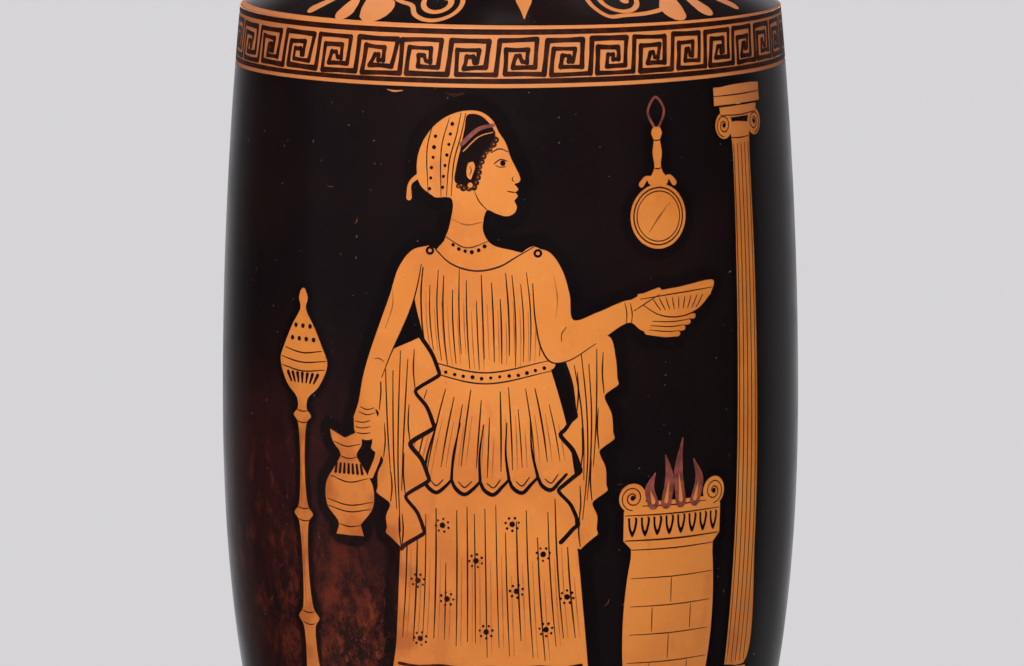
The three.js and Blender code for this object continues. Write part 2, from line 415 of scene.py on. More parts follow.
def ribbon(points, widths, step=0.8):
    """A brush stroke along a smooth line, with round ends; its widths are spread along it."""
    line = smooth(points, step)
    reached = lengths(line)
    half = np.interp(reached / reached[-1], np.linspace(0, 1, len(widths)), widths)[:, None] / 2
    left = -normals(line)
    ahead = np.column_stack([left[:, 1], -left[:, 0]])
    caps = []
    count = 3 if max(widths) < 2.5 else 7
    for end, sign in ((-1, 1), (0, -1)):
        for turn in np.linspace(0, math.pi, count + 2)[1:-1]:
            way = math.cos(turn) * left[end] * sign + math.sin(turn) * ahead[end] * sign
            caps.append(line[end] + way * half[end])
    return np.vstack([line + left * half, caps[:count], (line - left * half)[::-1], caps[count:]])


def uncovered(points, widths, covers):
    """The stretches of a raised line that no later shape lies over, as (path, width along it)."""
    path = smooth(points, LINE_STEP)
    share = np.linspace(0, 1, max(4, int(lengths(path)[-1] / LINE_STEP)))
    path = along(path, share)
    wide = np.interp(share, np.linspace(0, 1, len(widths)), widths)
    free = np.ones(len(path), bool)
    for polygon in covers:
        free &= ~inside(path, polygon)
    parts = np.split(np.arange(len(path)), np.flatnonzero(np.diff(free.astype(int))) + 1)
    return [(path[part], wide[part]) for part in parts if free[part[0]] and len(part) > 2]


def relief(name, lines, place):
    """Raised lines with a ridge: each is (path, width along it)."""
    verts = []
    faces = []
    for line, widths in lines:
        left = -normals(line) * widths[:, None] / 2
        corners = ((1, -SUNK), (-1, -SUNK), (-0.5, RIDGE), (0.5, RIDGE))
        sides = [place(line + left * out, lift)[0] for out, lift in corners]
        add_tube(verts, faces, list(zip(*sides)))
    return new_mesh(name, verts, faces)


def disc(centre, radius, count=14):
    turn = np.arange(count) * 2 * math.pi / count
    return np.column_stack([centre[0] + radius * np.cos(turn), centre[1] + radius * np.sin(turn)])


def curl(centre, start_radius, end_radius, start_degrees, sweep_degrees, count=20):
    """Points that wind in round a centre."""
    turns = np.radians(np.linspace(start_degrees, start_degrees + sweep_degrees, count))
    radii = np.linspace(start_radius, end_radius, count)
    return [(centre[0] + r * math.cos(t), centre[1] + r * math.sin(t)) for r, t in zip(radii, turns)]


def polar(angle_degrees, radius):
    """A plan point; the angle runs from the front to the right."""
    angle = math.radians(angle_degrees)
    return (radius * math.sin(angle), -radius * math.cos(angle))


def wobble(x, size, waves):
    """A slow hand-made drift that closes round the vessel."""
    angle = x / DRAWN_RADIUS
    return sum(size / n * math.sin(n * angle + n * n * 1.7) for n in waves)


# The paints; a triangle of the drawing shows one of them
CLAY, GLOSS, THIN, DENSE, HALF_DENSE, DILUTE, RED = range(7)

FULL_TURN = np.linspace(-GIRTH / 2, GIRTH / 2, 181)
BAND_CLIMB = 0.28
KEY_UNITS = 37

# Heights in the drawing, below the shoulder's edge
DRAWING_TOP = 0.05
BAND_BOTTOM = 13.4
GROUND = 163
PICTURE_BOTTOM = 177


def climb(x, most=BAND_CLIMB):
    """The painted bands rise a little from left to right on the picture side."""
    return most * math.sin(x / DRAWN_RADIUS)


def ring_band(top, bottom, drift=0.12, rise=BAND_CLIMB):
    """A band right round, between two heights below the shoulder's edge."""
    edges = []
    for down, shift, waves in ((top, 0, (2, 5, 9, 17)), (bottom, 40, (3, 4, 11, 19))):
        edges.append([(x, -down + climb(x, rise) + wobble(x + shift, drift, waves)) for x in FULL_TURN])
    return np.array(edges[0] + edges[1][::-1])


KEY_UNIT = [
    (-0.06, 0.0), (0.01, 1.0), (0.82, 1.0), (0.75, 0.20), (0.30, 0.20), (0.36, 0.53), (0.47, 0.53),
    (0.49, 0.37), (0.57, 0.36), (0.60, 0.75), (0.15, 0.75), (0.11, 0.0), (0.94, 0.0),
]


def key_drift(x):
    """The painter's units are a little wider on the left of the picture side than on the right."""
    return x + 8.0 * math.cos(x / DRAWN_RADIUS)


def running_key(top, bottom, stroke):
    """A running spiral key right round: one line that winds into each unit and out again."""
    pitch = GIRTH / KEY_UNITS
    height = bottom - top - stroke
    shapes = []
    for unit in range(KEY_UNITS):
        start = -GIRTH / 2 + (unit + 0.55) * pitch
        points = []
        for i, (x, y) in enumerate(KEY_UNIT):
            loose = 0 if i in (0, len(KEY_UNIT) - 1) else 0.02
            x = key_drift(start + (x + rng.gauss(0, loose)) * pitch)
            y = y * height + rng.gauss(0, loose * 0.8 * height)
            points.append((x, -bottom + stroke / 2 + y + climb(x) + wobble(x, 0.12, (2, 5))))
        for i, (a, b) in enumerate(zip(points, points[1:])):
            inner = 0.9 if 3 <= i <= 9 else 1.0
            width = stroke * inner * rng.uniform(0.88, 1.12)
            middle = ((a[0] + b[0]) / 2 + rng.gauss(0, 0.06), (a[1] + b[1]) / 2 + rng.gauss(0, 0.06))
            shapes.append((THIN, ribbon([a, middle, b], [width * 1.16, width * 0.94, width * 1.14], 2.0)))
    return shapes


def wrapped(shapes):
    """Repeats what crosses the seam on the other side of it."""
    copies = []
    for paint, polygon in shapes:
        low, high = polygon[:, 0].min(), polygon[:, 0].max()
        if high > GIRTH / 2 and low > -GIRTH / 2:
            copies.append((paint, polygon - [GIRTH, 0]))
        if low < -GIRTH / 2 and high < GIRTH / 2:
            copies.append((paint, polygon + [GIRTH, 0]))
    return shapes + copies


def flipped(points):
    """Points of the drawing (across, up) from points of (across, down)."""
    return [(x, -down) for x, down in points]


def outline(runs):
    """A closed polygon of smooth runs that meet at corners; points are (across, down)."""
    joined = [list(run) + [after[0]] for run, after in zip(runs, runs[1:] + runs[:1])]
    return np.vstack([smooth(flipped(run), 0.9)[:-1] for run in joined])


def area(polygon):
    x, y = polygon[:, 0], polygon[:, 1]
    return abs(np.dot(x, np.roll(y, -1)) - np.dot(y, np.roll(x, -1))) / 2


def swing(x, down, turns):
    """The edge of a hanging fold, from (x, down).

    Each turn (reach, drop, shift, back) runs out to a tip and comes back under it.
    """
    points = [(x, down)]
    for reach, drop, shift, back in turns:
        side = math.copysign(1, reach)
        tip_x, tip = x + reach, down + drop
        points.append((x + reach * 0.5 + side * 0.5, down + drop * 0.46))
        points += [(tip_x - side * 0.3, tip - 1.1), (tip_x, tip), (tip_x - side, tip + 0.8)]
        x, down = x + shift, tip + back
        points += [(x + side * 0.9, down - 0.5), (x, down + 0.4)]
    return points


class Motif:
    """One thing in the picture: reserved shapes, what is painted on them, and raised lines."""

    def __init__(self, stripe):
        self.stripe = stripe
        self.shapes = []
        self.lines = []

    def fill(self, paint, *runs):
        self.shapes.append((paint, outline(runs)))

    def block(self, paint, *corners):
        self.shapes.append((paint, outline([[corner] for corner in corners])))

    def slab(self, x, half_top, top, half_bottom, bottom):
        """A reserved slab, which may be wider at its top."""
        upper = (x - half_top, top), (x + half_top, top)
        self.block(CLAY, *upper, (x + half_bottom, bottom), (x - half_bottom, bottom))

    def turned(self, paint, x, profile):
        """A shape that is the same on both sides of x; the profile is (half width, down)."""
        right = [(x + half, down) for half, down in profile]
        left = [(x - half, down) for half, down in profile[::-1]]
        self.fill(paint, right, left)

    def brush(self, paint, points, *widths):
        self.shapes.append((paint, ribbon(flipped(points), widths, 0.7)))

    def dot(self, paint, x, down, radius):
        self.shapes.append((paint, disc((x, -down), radius, max(12, int(radius * 9)))))

    def dots(self, paint, line, count, radius):
        """A row of dots along a line, a little uneven."""
        for x, down in along(line, (np.arange(count) + 0.5) / count):
            x, down = x + rng.uniform(-0.1, 0.1), down + rng.uniform(-0.1, 0.1)
            self.dot(paint, x, down, radius * rng.uniform(0.85, 1.15))

    def line(self, points, width=0.4):
        self.lines.append((flipped(points), [width * 0.6, width, width, width * 0.5]))

    def level(self, x, half, down, sag=0.3, width=0.34):
        """A raised line straight across, with a slight sag."""
        self.line([(x - half, down), (x, down + sag), (x + half, down)], width)

    def folds(self, upper, lower, count, belly=0.0, width=0.4, thin=False):
        """Fold lines between two edges: full ones raised, and short ones in thinned gloss if asked for."""
        for k in range(count):
            share = (k + 0.5 + rng.uniform(-0.2, 0.2)) / count
            top, bottom = along(upper, share), along(lower, share)
            first, last = rng.uniform(0.02, 0.16), rng.uniform(0.84, 0.98)
            if k % 3 == 1:
                first += rng.uniform(0.05, 0.3)
            points = []
            for t in (first, mix(first, last, 0.35), mix(first, last, 0.7), last):
                bulge = belly * (2 * share - 1) * math.sin(math.pi * t)
                points.append((mix(top[0], bottom[0], t) + bulge, mix(top[1], bottom[1], t)))
            self.line(points, width * rng.uniform(0.8, 1.2))
            if thin:
                beside = [(x + 1.1, down) for x, down in points[1:]]
                self.brush(DILUTE, beside, 0.12, 0.26, 0.1)

    def rosette(self, x, down, petals=7):
        self.dot(GLOSS, x, down, 0.66)
        start = rng.uniform(0, 1)
        for petal in range(petals):
            turn = start + petal * 2 * math.pi / petals
            size = rng.uniform(0.24, 0.32)
            self.dot(GLOSS, x + 1.5 * math.cos(turn), down + 1.5 * math.sin(turn), size)

    def pin(self, x, down):
        self.dot(GLOSS, x, down, 1.0)
        self.dot(CLAY, x, down, 0.45)

    def around(self, extra):
        """The wide stripe that the painter lays round the reserved shapes before the ground is filled."""
        stripes = []
        for paint, polygon in self.shapes:
            if paint == CLAY and area(polygon) > 10:
                count = int(np.linalg.norm(polygon - np.roll(polygon, 1, axis=0), axis=1).sum() / 2.4)
                ring = along(np.vstack([polygon, polygon[:1]]), np.arange(count + 1) / count)
                widths = [2 * self.stripe * rng.uniform(0.86, 1.14) + extra for _ in range(count + 1)]
                stripes.append(ribbon(ring, widths, 2.4))
        return stripes


def woman():
    m = Motif(3.0)

    # Head in profile and neck
    m.fill(
        CLAY,
        [(-2.8, 23.2), (-1.1, 25.8), (-0.1, 28.6)],
        [(0.2, 29.4), (2.3, 34.0)],
        [(1.9, 34.8), (0.95, 35.1)],
        [(1.15, 35.4), (1.85, 36.3), (1.25, 36.9)],
        [(1.2, 37.1), (1.7, 37.8), (1.1, 38.6)],
        [(0.9, 38.9), (1.5, 40.3), (0.9, 41.7), (-0.9, 42.4), (-3.2, 41.8), (-5.3, 41.0)],
        [(-6.0, 42.6), (-6.2, 45.6), (-4.4, 48.6), (1.0, 50.2), (4.8, 51.5)],
        [(-6.0, 56.0), (-17.5, 51.5)],
        [(-15.2, 48.2), (-13.9, 44.5), (-13.5, 38.6)],
        [(-17.4, 38.4), (-21.0, 35.6), (-21.9, 31.0), (-20.6, 26.0), (-17.0, 21.4), (-12.0, 18.9),
         (-7.0, 18.8), (-4.0, 20.9)],
    )
    m.fill(
        GLOSS,
        [(-3.5, 23.4), (-4.7, 21.6), (-7.2, 19.6), (-10.0, 19.6)],
        [(-10.6, 22.5), (-11.6, 27.5), (-12.5, 31.5), (-12.7, 34.8)],
        [(-11.0, 35.4), (-9.6, 36.6), (-8.1, 35.6), (-7.6, 33.6), (-7.1, 31.2), (-6.2, 28.8),
         (-4.6, 27.0), (-3.5, 25.2)],
    )
    curls = [(-3.0, 24.6), (-4.4, 27), (-6.0, 28.4), (-6.9, 31), (-7.4, 34), (-8.3, 35.9), (-10.4, 36.3),
             (-12.4, 35.4)]
    m.dots(THIN, curls, 14, 0.66)
    m.dots(DILUTE, curls, 14, 0.2)
    m.brush(RED, [(-3.8, 21.8), (-7.4, 22.8), (-11.3, 26.2)], 0.7, 1.0, 1.0)
    m.brush(CLAY, [(-4.0, 23.4), (-7.2, 24.4), (-10.9, 27.8)], 0.25, 0.3, 0.3)
    ear = [(-9.7, 30.4), (-8.6, 30.1), (-8.1, 31.3), (-8.6, 32.9), (-9.1, 34.2), (-9.9, 33.6), (-10.1, 31.8)]
    m.fill(CLAY, ear)
    m.line([(-9.3, 31.2), (-8.9, 32.2), (-9.4, 33.2)], 0.26)
    m.dot(CLAY, -9.2, 35.4, 0.62)
    m.line([(-4.5, 28.1), (-2.4, 27.1), (-0.5, 27.9)], 0.4)
    m.line([(-3.8, 30.6), (-2.2, 29.5), (-0.7, 30.0)], 0.42)
    m.line([(-3.5, 30.9), (-2.1, 31.4), (-1.0, 31.1)], 0.28)
    m.dot(GLOSS, -1.75, 30.4, 0.62)
    m.line([(0.9, 34.6), (0.3, 34.1), (0.7, 33.4)], 0.26)
    m.line([(1.2, 37.0), (0.2, 36.9), (-0.8, 36.7)], 0.32)
    m.line([(-5.3, 41.0), (-7.2, 39.0), (-8.2, 36.8)], 0.3)
    m.brush(DILUTE, [(-13.4, 43.2), (-10.0, 44.4), (-6.6, 43.8)], 0.2, 0.3, 0.2)
    m.line([(-14.8, 47.2), (-10.0, 49.6), (-4.8, 48.0)], 0.34)
    m.dots(GLOSS, [(-13.6, 48.6), (-11.2, 50.2), (-9.3, 50.7), (-7.4, 50.2), (-5.2, 48.9)], 6, 0.42)

    # Bag over the hair
    for shift in (0.0, 1.1):
        m.line([(-10.4 - shift, 19.2), (-11.4 - shift, 24), (-13.0 - shift, 30), (-13.6 - shift, 38)], 0.36)
    for shift in (0.0, 3.4):
        end = (-16.0 - shift * 0.9, 38.2 - shift * 0.2)
        m.line([(-14.2 - shift, 20.2), (-16.0 - shift, 27), end], 0.32)
    m.dots(GLOSS, [(-13.4, 20.4), (-15.9, 37.2)], 7, 0.42)
    m.dots(GLOSS, [(-17.3, 23.4), (-18.9, 37.6)], 6, 0.42)
    m.brush(CLAY, [(-21.2, 33.4), (-23.4, 35.4), (-23.6, 38.6)], 1.2, 0.9, 1.4)

    # Dress: body, the long overfold and the skirt
    m.fill(
        CLAY,
        [(-19.2, 49.4), (-21.8, 51.6), (-22.6, 56), (-21.6, 63), (-19.8, 70), (-19.2, 76.4)],
        [(-20.6, 79), (-22.8, 86), (-24.8, 94), (-26.6, 102.4)],
        [(-24.8, 104.6), (-25.6, 120), (-27.2, 140), (-29.4, 157)],
        [(-24, 158.8), (-20, 157.4), (-15, 159), (-9, 157.4), (-3, 159), (3, 157.4), (9, 158.8),
         (14, 157.2), (18.8, 158)],
        [(18.4, 146), (16, 125), (14.2, 106)],
        [(14.6, 102), (12.6, 90), (9.6, 79)],
        [(8.6, 76), (8.8, 68), (9.8, 60), (9.8, 54), (7.8, 50.6), (5, 49.2)],
        [(1.5, 51.4), (-2.5, 53.8), (-8, 54.8), (-13.6, 53.2), (-17, 50)],
    )
    neckline = [(-17.2, 50), (-13.6, 53.2), (-8, 54.8), (-2.5, 53.8), (1.5, 51.5), (5.2, 49.4)]
    belt = [(-19.6, 75.2), (-13, 77.2), (-6, 77.9), (2, 77.1), (8.6, 75.2)]
    m.line(neckline, 0.52)
    chest = [(-20.6, 51.2)] + neckline[1:-1] + [(7.6, 51.2)]
    m.folds(chest, belt, 17, 1.2, 0.4, thin=True)

    # Belt
    m.brush(CLAY, [(-19.8, 76), (-6, 79), (8.8, 76)], 2.6, 2.6)
    m.line([(-19.6, 75.2), (-6, 77.9), (8.6, 75.2)], 0.44)
    m.line([(-19.8, 77.6), (-6, 80.4), (9, 77.6)], 0.44)
    m.dots(GLOSS, [(-19.4, 76.5), (-13, 78.4), (-6, 79.2), (2, 78.4), (8.6, 76.5)], 14, 0.42)
    under_belt = [(-18.8, 79), (-6, 81), (7.8, 79)]

    # Overfold, whose hem hangs in shallow scallops with a fold over each cusp
    hem, scallops = [(-26.2, 102.0), (-6, 102.8), (12.6, 101.2)], 6
    m.folds(under_belt, hem, 14, 0.5, 0.4, thin=True)
    for k in range(scallops):
        a, b = along(hem, k / scallops), along(hem, (k + 1) / scallops)
        low = [mix(a[0], b[0], 0.45), max(a[1], b[1]) + 3.0]
        m.brush(GLOSS, [a, (a[0] + 0.9, a[1] + 1.9), low, (b[0] - 1.6, b[1] + 1.7), b], 0.7, 0.95, 0.8, 0.6)
        m.brush(THIN, [(a[0] + 1.6, a[1] + 0.4), (low[0], low[1] - 1.6), (b[0] - 1.9, b[1])], 0.2, 0.3, 0.2)
        if k:
            top = along(under_belt, k / scallops)[0]
            fold = [a, (mix(a[0], top, 0.3) - 0.5, a[1] - 6), (mix(a[0], top, 0.62), a[1] - 13)]
            m.brush(GLOSS, fold, 0.7, 0.45, 0.2)

    # Skirt
    knee = [(-25.0, 105.5), (-6, 106.5), (13.8, 105)]
    m.folds(knee, [(-28.0, 145), (-6, 145.6), (17.6, 145)], 17, -0.8, 0.42, thin=True)
    for x, down in [(-21.4, 126), (-14.6, 130), (-15.4, 113), (-7.8, 121), (-5.6, 137.5), (0.4, 112.5),
                    (1.4, 128), (7.4, 119.5), (8.2, 137), (-21.2, 139.5), (13.0, 129.5)]:
        m.rosette(x, down)

    # Woven border
    left, right = -28.0, 18.0
    across = [left + (right - left) * k / 8 for k in range(9)]
    sag = [0.0, 0.5, 0.1, 0.6, 0.2, 0.6, 0.1, 0.5, 0.0]
    for down, inset, width in ((145.6, 1.2, 0.7), (149.2, 0.8, 3.4), (152.6, 0.4, 0.5), (156.4, 0.0, 1.0)):
        ends = [left + inset] + across[1:-1] + [right - inset]
        m.brush(GLOSS, [(x, down + s) for x, s in zip(ends, sag)], width, width)
    for x in np.linspace(left + 1.6, right - 1.6, 21):
        down = 149.2 + np.interp(x, across, sag)
        m.brush(CLAY, [(x - 0.7, down + 1.0), (x, down - 1.0), (x + 0.7, down + 1.0)], 0.4, 0.4)
    for x in np.linspace(left + 1.4, right - 1.4, 17):
        down = 153.4 + np.interp(x, across, sag)
        m.block(GLOSS, (x - 0.8, down), (x, down + 2.0), (x + 0.8, down))

    # Feet
    for x in (-18, 4):
        m.fill(CLAY, [(x, 158), (x + 6.8, 158), (x + 11, 160), (x + 16.4, 161.4), (x + 17.6, 162.6)],
               [(x + 17, 163.2), (x + 0.4, 163.2)])
        m.line([(x + 13.4, 162.6), (x + 15.6, 162.2), (x + 16.8, 162.4)], 0.24)
    return m


def shawl_end(side, top, inner, outer):
    """One end of the shawl, which hangs over an arm; its edges are lists of turns for swing().

    Fold lines rise from the inward corners of both edges, and longer ones hang between them.
    """
    m = Motif(2.6)
    inner_edge = swing(*top[0], inner)
    outer_edge = swing(*top[1], outer)
    m.fill(CLAY, inner_edge, outer_edge[::-1])
    limits = []
    for edge, way in ((inner_edge, side), (outer_edge, -side)):
        corners = [max(edge[k - 3], edge[k], key=lambda p: p[0] * way) for k in range(6, len(edge), 6)]
        limits.append(np.array([edge[0]] + corners))
        for above, (x, down) in zip([edge[0]] + corners, corners):
            high = mix(down, above[1], rng.uniform(0.72, 0.88))
            middle = (x + way * 0.5, mix(down, high, 0.5))
            m.line([(x + way * 0.1, down - 0.6), middle, (x + way * 0.3, high)], 0.44)
    long_folds = ((0.24, 0.08, 0.72), (0.42, 0.02, 0.92), (0.58, 0.10, 0.80), (0.76, 0.04, 0.62))
    for share, first, last in long_folds:
        ends = [mix(limits[0][i][1], limits[1][i][1], share) for i in (0, -1)]
        path = []
        for t in np.linspace(first, last, 4):
            down = mix(*ends, t)
            across = [float(np.interp(down, limit[:, 1], limit[:, 0])) for limit in limits]
            path.append((mix(*across, share), down))
        m.line(path, 0.42)
    m.brush(GLOSS, inner_edge, 1.0, 0.8, 1.1, 0.8, 1.0)
    return m


def near_arm_and_jug():
    m = Motif(2.4)
    m.brush(CLAY, [(-36.4, 94.6), (-34.6, 90.4), (-31.4, 91), (-30.6, 97), (-32.6, 102.4)], 1.5, 1.5)
    m.fill(
        CLAY,
        [(-43.6, 92.4), (-42.8, 95.2), (-40.6, 98), (-42, 100.6), (-44.8, 105), (-44.6, 110), (-41.4, 114)],
        [(-42.2, 116.6)],
        [(-34.6, 116.6)],
        [(-35.4, 114), (-32.2, 110), (-32, 105), (-34.6, 100.6), (-36.2, 98), (-34.8, 95.4), (-35.4, 92.8)],
        [(-39.4, 94.2)],
    )
    m.line([(-42.6, 95.2), (-39, 96.2), (-35.2, 95.4)], 0.3)
    m.line([(-41, 98.4), (-38.4, 99), (-36, 98.4)], 0.3)
    m.line([(-43.4, 103.2), (-38.4, 104.4), (-33.2, 103.2)], 0.36)
    for k in range(7):
        x = -42 + 1.2 * k
        m.brush(GLOSS, [(x * 0.9 - 3.84, 100.2), (x, 102.2)], 0.5, 0.75)
    for down, half in ((108.6, 6.2), (110.2, 5.8), (114.2, 2.8)):
        m.level(-38.4, half, down, half * 0.18, 0.34)
    m.fill(
        CLAY,
        [(-18.6, 49.2), (-22.6, 50.4), (-25.8, 54.4), (-28, 61), (-30.6, 68), (-33, 74.6), (-34.6, 80),
         (-35.8, 86)],
        [(-37, 89.2), (-36.6, 92.8), (-34.2, 94.4), (-31.2, 93.4), (-30.4, 90.2), (-31.4, 86.4)],
        [(-29.8, 79.6), (-27.6, 74.4), (-24.6, 68), (-22.2, 62), (-20.8, 57)],
    )
    m.line([(-20.4, 53.6), (-21.2, 58), (-22.4, 62.6), (-24.6, 68), (-27.6, 74.4), (-29.8, 79.8)], 0.44)
    m.brush(DILUTE, [(-27.4, 58.6), (-27.2, 63), (-29, 68.6)], 0.1, 0.28, 0.1)
    m.line([(-29.2, 76.2), (-30.6, 75.4), (-31.6, 75.6)], 0.28)
    m.line([(-35.4, 86.8), (-33.4, 87.4), (-31.6, 86.8)], 0.32)
    m.line([(-35.6, 88), (-33.6, 88.6), (-31.4, 88)], 0.32)
    for k in range(3):
        m.line([(-36.7 + 0.2 * k, 90.2 + 1.3 * k), (-34.6, 90.4 + 1.3 * k), (-32.6, 89.8 + 1.4 * k)], 0.3)
    m.pin(-18.4, 50.4)
    return m


def far_arm_and_bowl():
    m = Motif(2.6)
    m.fill(
        CLAY,
        [(4.8, 49.6), (8.6, 50.4), (11.6, 54.4), (13.4, 60.4), (14.2, 66)],
        [(20, 64.4), (27.2, 62.0)],
        [(30, 62.4), (34, 64)],
        [(35.6, 66.6), (34.6, 69.2), (30.6, 69.2), (27.6, 67.2)],
        [(19.4, 71.6), (12.8, 75.4), (9.2, 75.6), (7, 72.6), (5.6, 66), (5, 60)],
    )
    for k in range(4):
        finger = [(33.4 - 0.5 * k, 66.5 + 0.95 * k), (38.6 - 0.6 * k, 67.0 + 1.1 * k)]
        m.brush(CLAY, finger + [(44.6 - 1.5 * k, 66.7 + 1.25 * k)], 1.7, 1.5, 1.25)
    for k in range(3):
        gap = [(33.2 - 0.4 * k, 67.2 + 0.95 * k), (38.6 - 0.6 * k, 67.6 + 1.1 * k)]
        m.line(gap + [(43.8 - 1.6 * k, 67.3 + 1.25 * k)], 0.28)
    m.line([(5, 57.6), (5.6, 66), (7, 72.6), (9.2, 75.6), (12.8, 75.4), (19.4, 71.6)], 0.44)
    m.line([(12.6, 67.6), (11.4, 69.4), (11.6, 71)], 0.28)
    m.brush(DILUTE, [(9.8, 56), (10.6, 61), (10.2, 65.6)], 0.1, 0.28, 0.1)
    for x in (26.4, 27.7):
        m.line([(x, 62.6), (x + 0.5, 65), (x + 0.3, 67.4)], 0.32)
    m.fill(
        CLAY,
        [(29.4, 60.8), (40, 59.8), (51, 59.2)],
        [(49.8, 62.2), (46, 65.2), (40.4, 66.6), (35, 65.8), (31, 63.4)],
    )
    m.line([(30.2, 62), (40, 61.2), (50.2, 60.6)], 0.34)
    m.line([(31, 63.4), (35, 65.8), (40.4, 66.6), (46, 65.2), (49.8, 62.2)], 0.36)
    for k in range(9):
        x = 33.4 + 1.75 * k
        m.line([(x, 62), (x + (40.4 - x) * 0.14, 63.4), (x + (40.4 - x) * 0.3, 64.8)], 0.32)
    m.brush(CLAY, [(27.8, 63.4), (31.4, 61.6), (35, 60.3)], 2.6, 2.0, 1.5)
    m.line([(28.6, 64.6), (32, 62.8), (35.4, 61.1)], 0.3)
    m.pin(6.2, 50.8)
    return m


def incense_stand(x=-52):
    m = Motif(1.3)
    m.turned(CLAY, x, [
        (0.5, 61), (1.5, 63.2), (0.9, 65.4), (3.6, 69.6), (6.4, 74.6), (7.6, 77.2), (7.4, 79.2), (5, 83.4),
        (1.8, 86.2), (1.5, 88.6), (2.9, 90.2), (1.5, 91.8), (1.6, 111), (3.1, 112.8), (1.7, 114.6),
        (1.9, 135), (3.5, 137), (2.1, 139), (2.5, 150), (4.2, 155.6), (8.6, 160.6), (9.4, 163.2),
    ])
    for down, half in ((75, 6), (77.2, 7.2), (79.2, 7)):
        m.level(x, half, down, 0.8, 0.4)
    for row, down in enumerate((69.6, 72.6)):
        for k in range(3 + row):
            m.dot(GLOSS, x + (k - (2 + row) / 2) * 2.3, down, 0.55)
    for k in range(7):
        m.brush(GLOSS, [(x - 4.8 + 1.6 * k, 80.6), (x - 3.6 + 1.2 * k, 82.6)], 0.9, 0.4)
    for down in (88.9, 91.5, 111.4, 114.2, 135.6, 138.4):
        m.level(x, 2, down, 0.4)
    for low, high in ((93, 110), (116, 134)):
        m.brush(DILUTE, [(x - 0.6, low), (x - 0.5, mix(low, high, 0.5)), (x - 0.6, high)], 0.2, 0.4, 0.2)
    m.level(x, 4.4, 156.4, 0.8)
    m.level(x, 8.2, 160.8, 1.0)
    for side in (-1, 1):
        m.line([(x + side * 1.4, 151), (x + side * 2.4, 156), (x + side * 5, 161)], 0.32)
    return m


def volute(m, x, down, radius, side):
    """A scroll with an eye; side says which way it winds."""
    m.dot(CLAY, x, down, radius)
    m.lines.append((curl((x, -down), radius * 0.85, radius * 0.2, -90, side * 640, 24), [0.3, 0.38]))
    m.dot(GLOSS, x, down, radius * 0.17)


def column(x=62.5):
    m = Motif(1.6)
    m.slab(x, 9.4, 15.4, 9.4, 19.6)
    m.slab(x, 7.6, 20.0, 7.2, 22.6)
    m.turned(CLAY, x, [(4.2, 24), (3.6, 28), (3.7, 60), (4.2, 120), (4.4, 149)])
    m.turned(CLAY, x, [(4.4, 150), (6.0, 151.4), (6.0, 153.4), (5.0, 154.8), (6.6, 156.6), (6.6, 159)])
    m.slab(x, 7.4, 159.4, 7.4, 163.2)
    m.level(x, 9.2, 17.4, 0.1)
    m.level(x, 7.4, 21.8, 0.4)
    for side in (-1, 1):
        volute(m, x + side * 6.2, 24.2, 3.1, side)
    for k in range(-2, 3):
        m.line([(x + 1.45 * k, 28.6), (x + 1.5 * k, 60), (x + 1.7 * k, 120), (x + 1.75 * k, 148.6)], 0.34)
    for down, half in ((27.2, 3.6), (149.6, 4.4), (153.6, 5.8), (156.0, 6.2)):
        m.level(x, half, down, 0.2)
    return m


def altar(x=39.5, half=13.4):
    m = Motif(2.0)
    steps = [
        (half - 1.4, 108.4), (half, 110.4), (half, 117.2), (half - 2, 119.2), (half - 2, 153.6),
        (half - 0.4, 155.2), (half - 0.4, 158.4), (half + 1.4, 159), (half + 1.4, 163.2),
    ]
    m.block(CLAY, *[(x + a, down) for a, down in steps], *[(x - a, down) for a, down in steps[::-1]])
    for side in (-1, 1):
        volute(m, x + side * (half - 2.2), 107.4, 3.4, side)
    for down, inset, width in (
        (109.4, 4.6, 0.4), (111.4, 0.4, 0.4), (117.2, 0.4, 0.5), (119.4, 2.2, 0.36),
        (153.8, 2.2, 0.4), (155.4, 0.6, 0.4), (158.6, 0.4, 0.4),
    ):
        m.level(x, half - inset, down, 0.2, width)
    for k in range(8):
        egg, top = x + 3.2 * (k - 3.5), 112
        for paint, wide, deep in ((GLOSS, 1.1, 4.4), (CLAY, 0.6, 3.2)):
            left, right = ((egg + side * wide * 0.8, top + deep * 0.6) for side in (-1, 1))
            bowl = [(egg - wide, top), left, (egg, top + deep), right, (egg + wide, top)]
            m.fill(paint, bowl, [(egg, top)])
    for k in range(5):
        course = 126 + 6.6 * k
        m.level(x, half - 2.2, course, 0.2, 0.28)
        for joint in (-1, 1) if k % 2 else (-0.1,):
            m.line([(x + 5.4 * joint, course + 0.4), (x + 5.4 * joint + 0.1, course + 6.2)], 0.28)

    # Fire
    for dx, tall, lean in ((-6, 7, -1), (-2.6, 11, 0.8), (1.4, 14.5, -0.8), (5.4, 9.5, 1.2)):
        root = x + dx
        flame = [(root, 109), (root + lean, 109 - tall * 0.5), (root - lean * 0.4, 109 - tall)]
        m.brush(RED, flame, 2.8, 2.4, 0.3)
        m.brush(CLAY, [(root, 108.6), (root + lean * 0.8, 109 - tall * 0.45)], 1.2, 0.2)
    return m


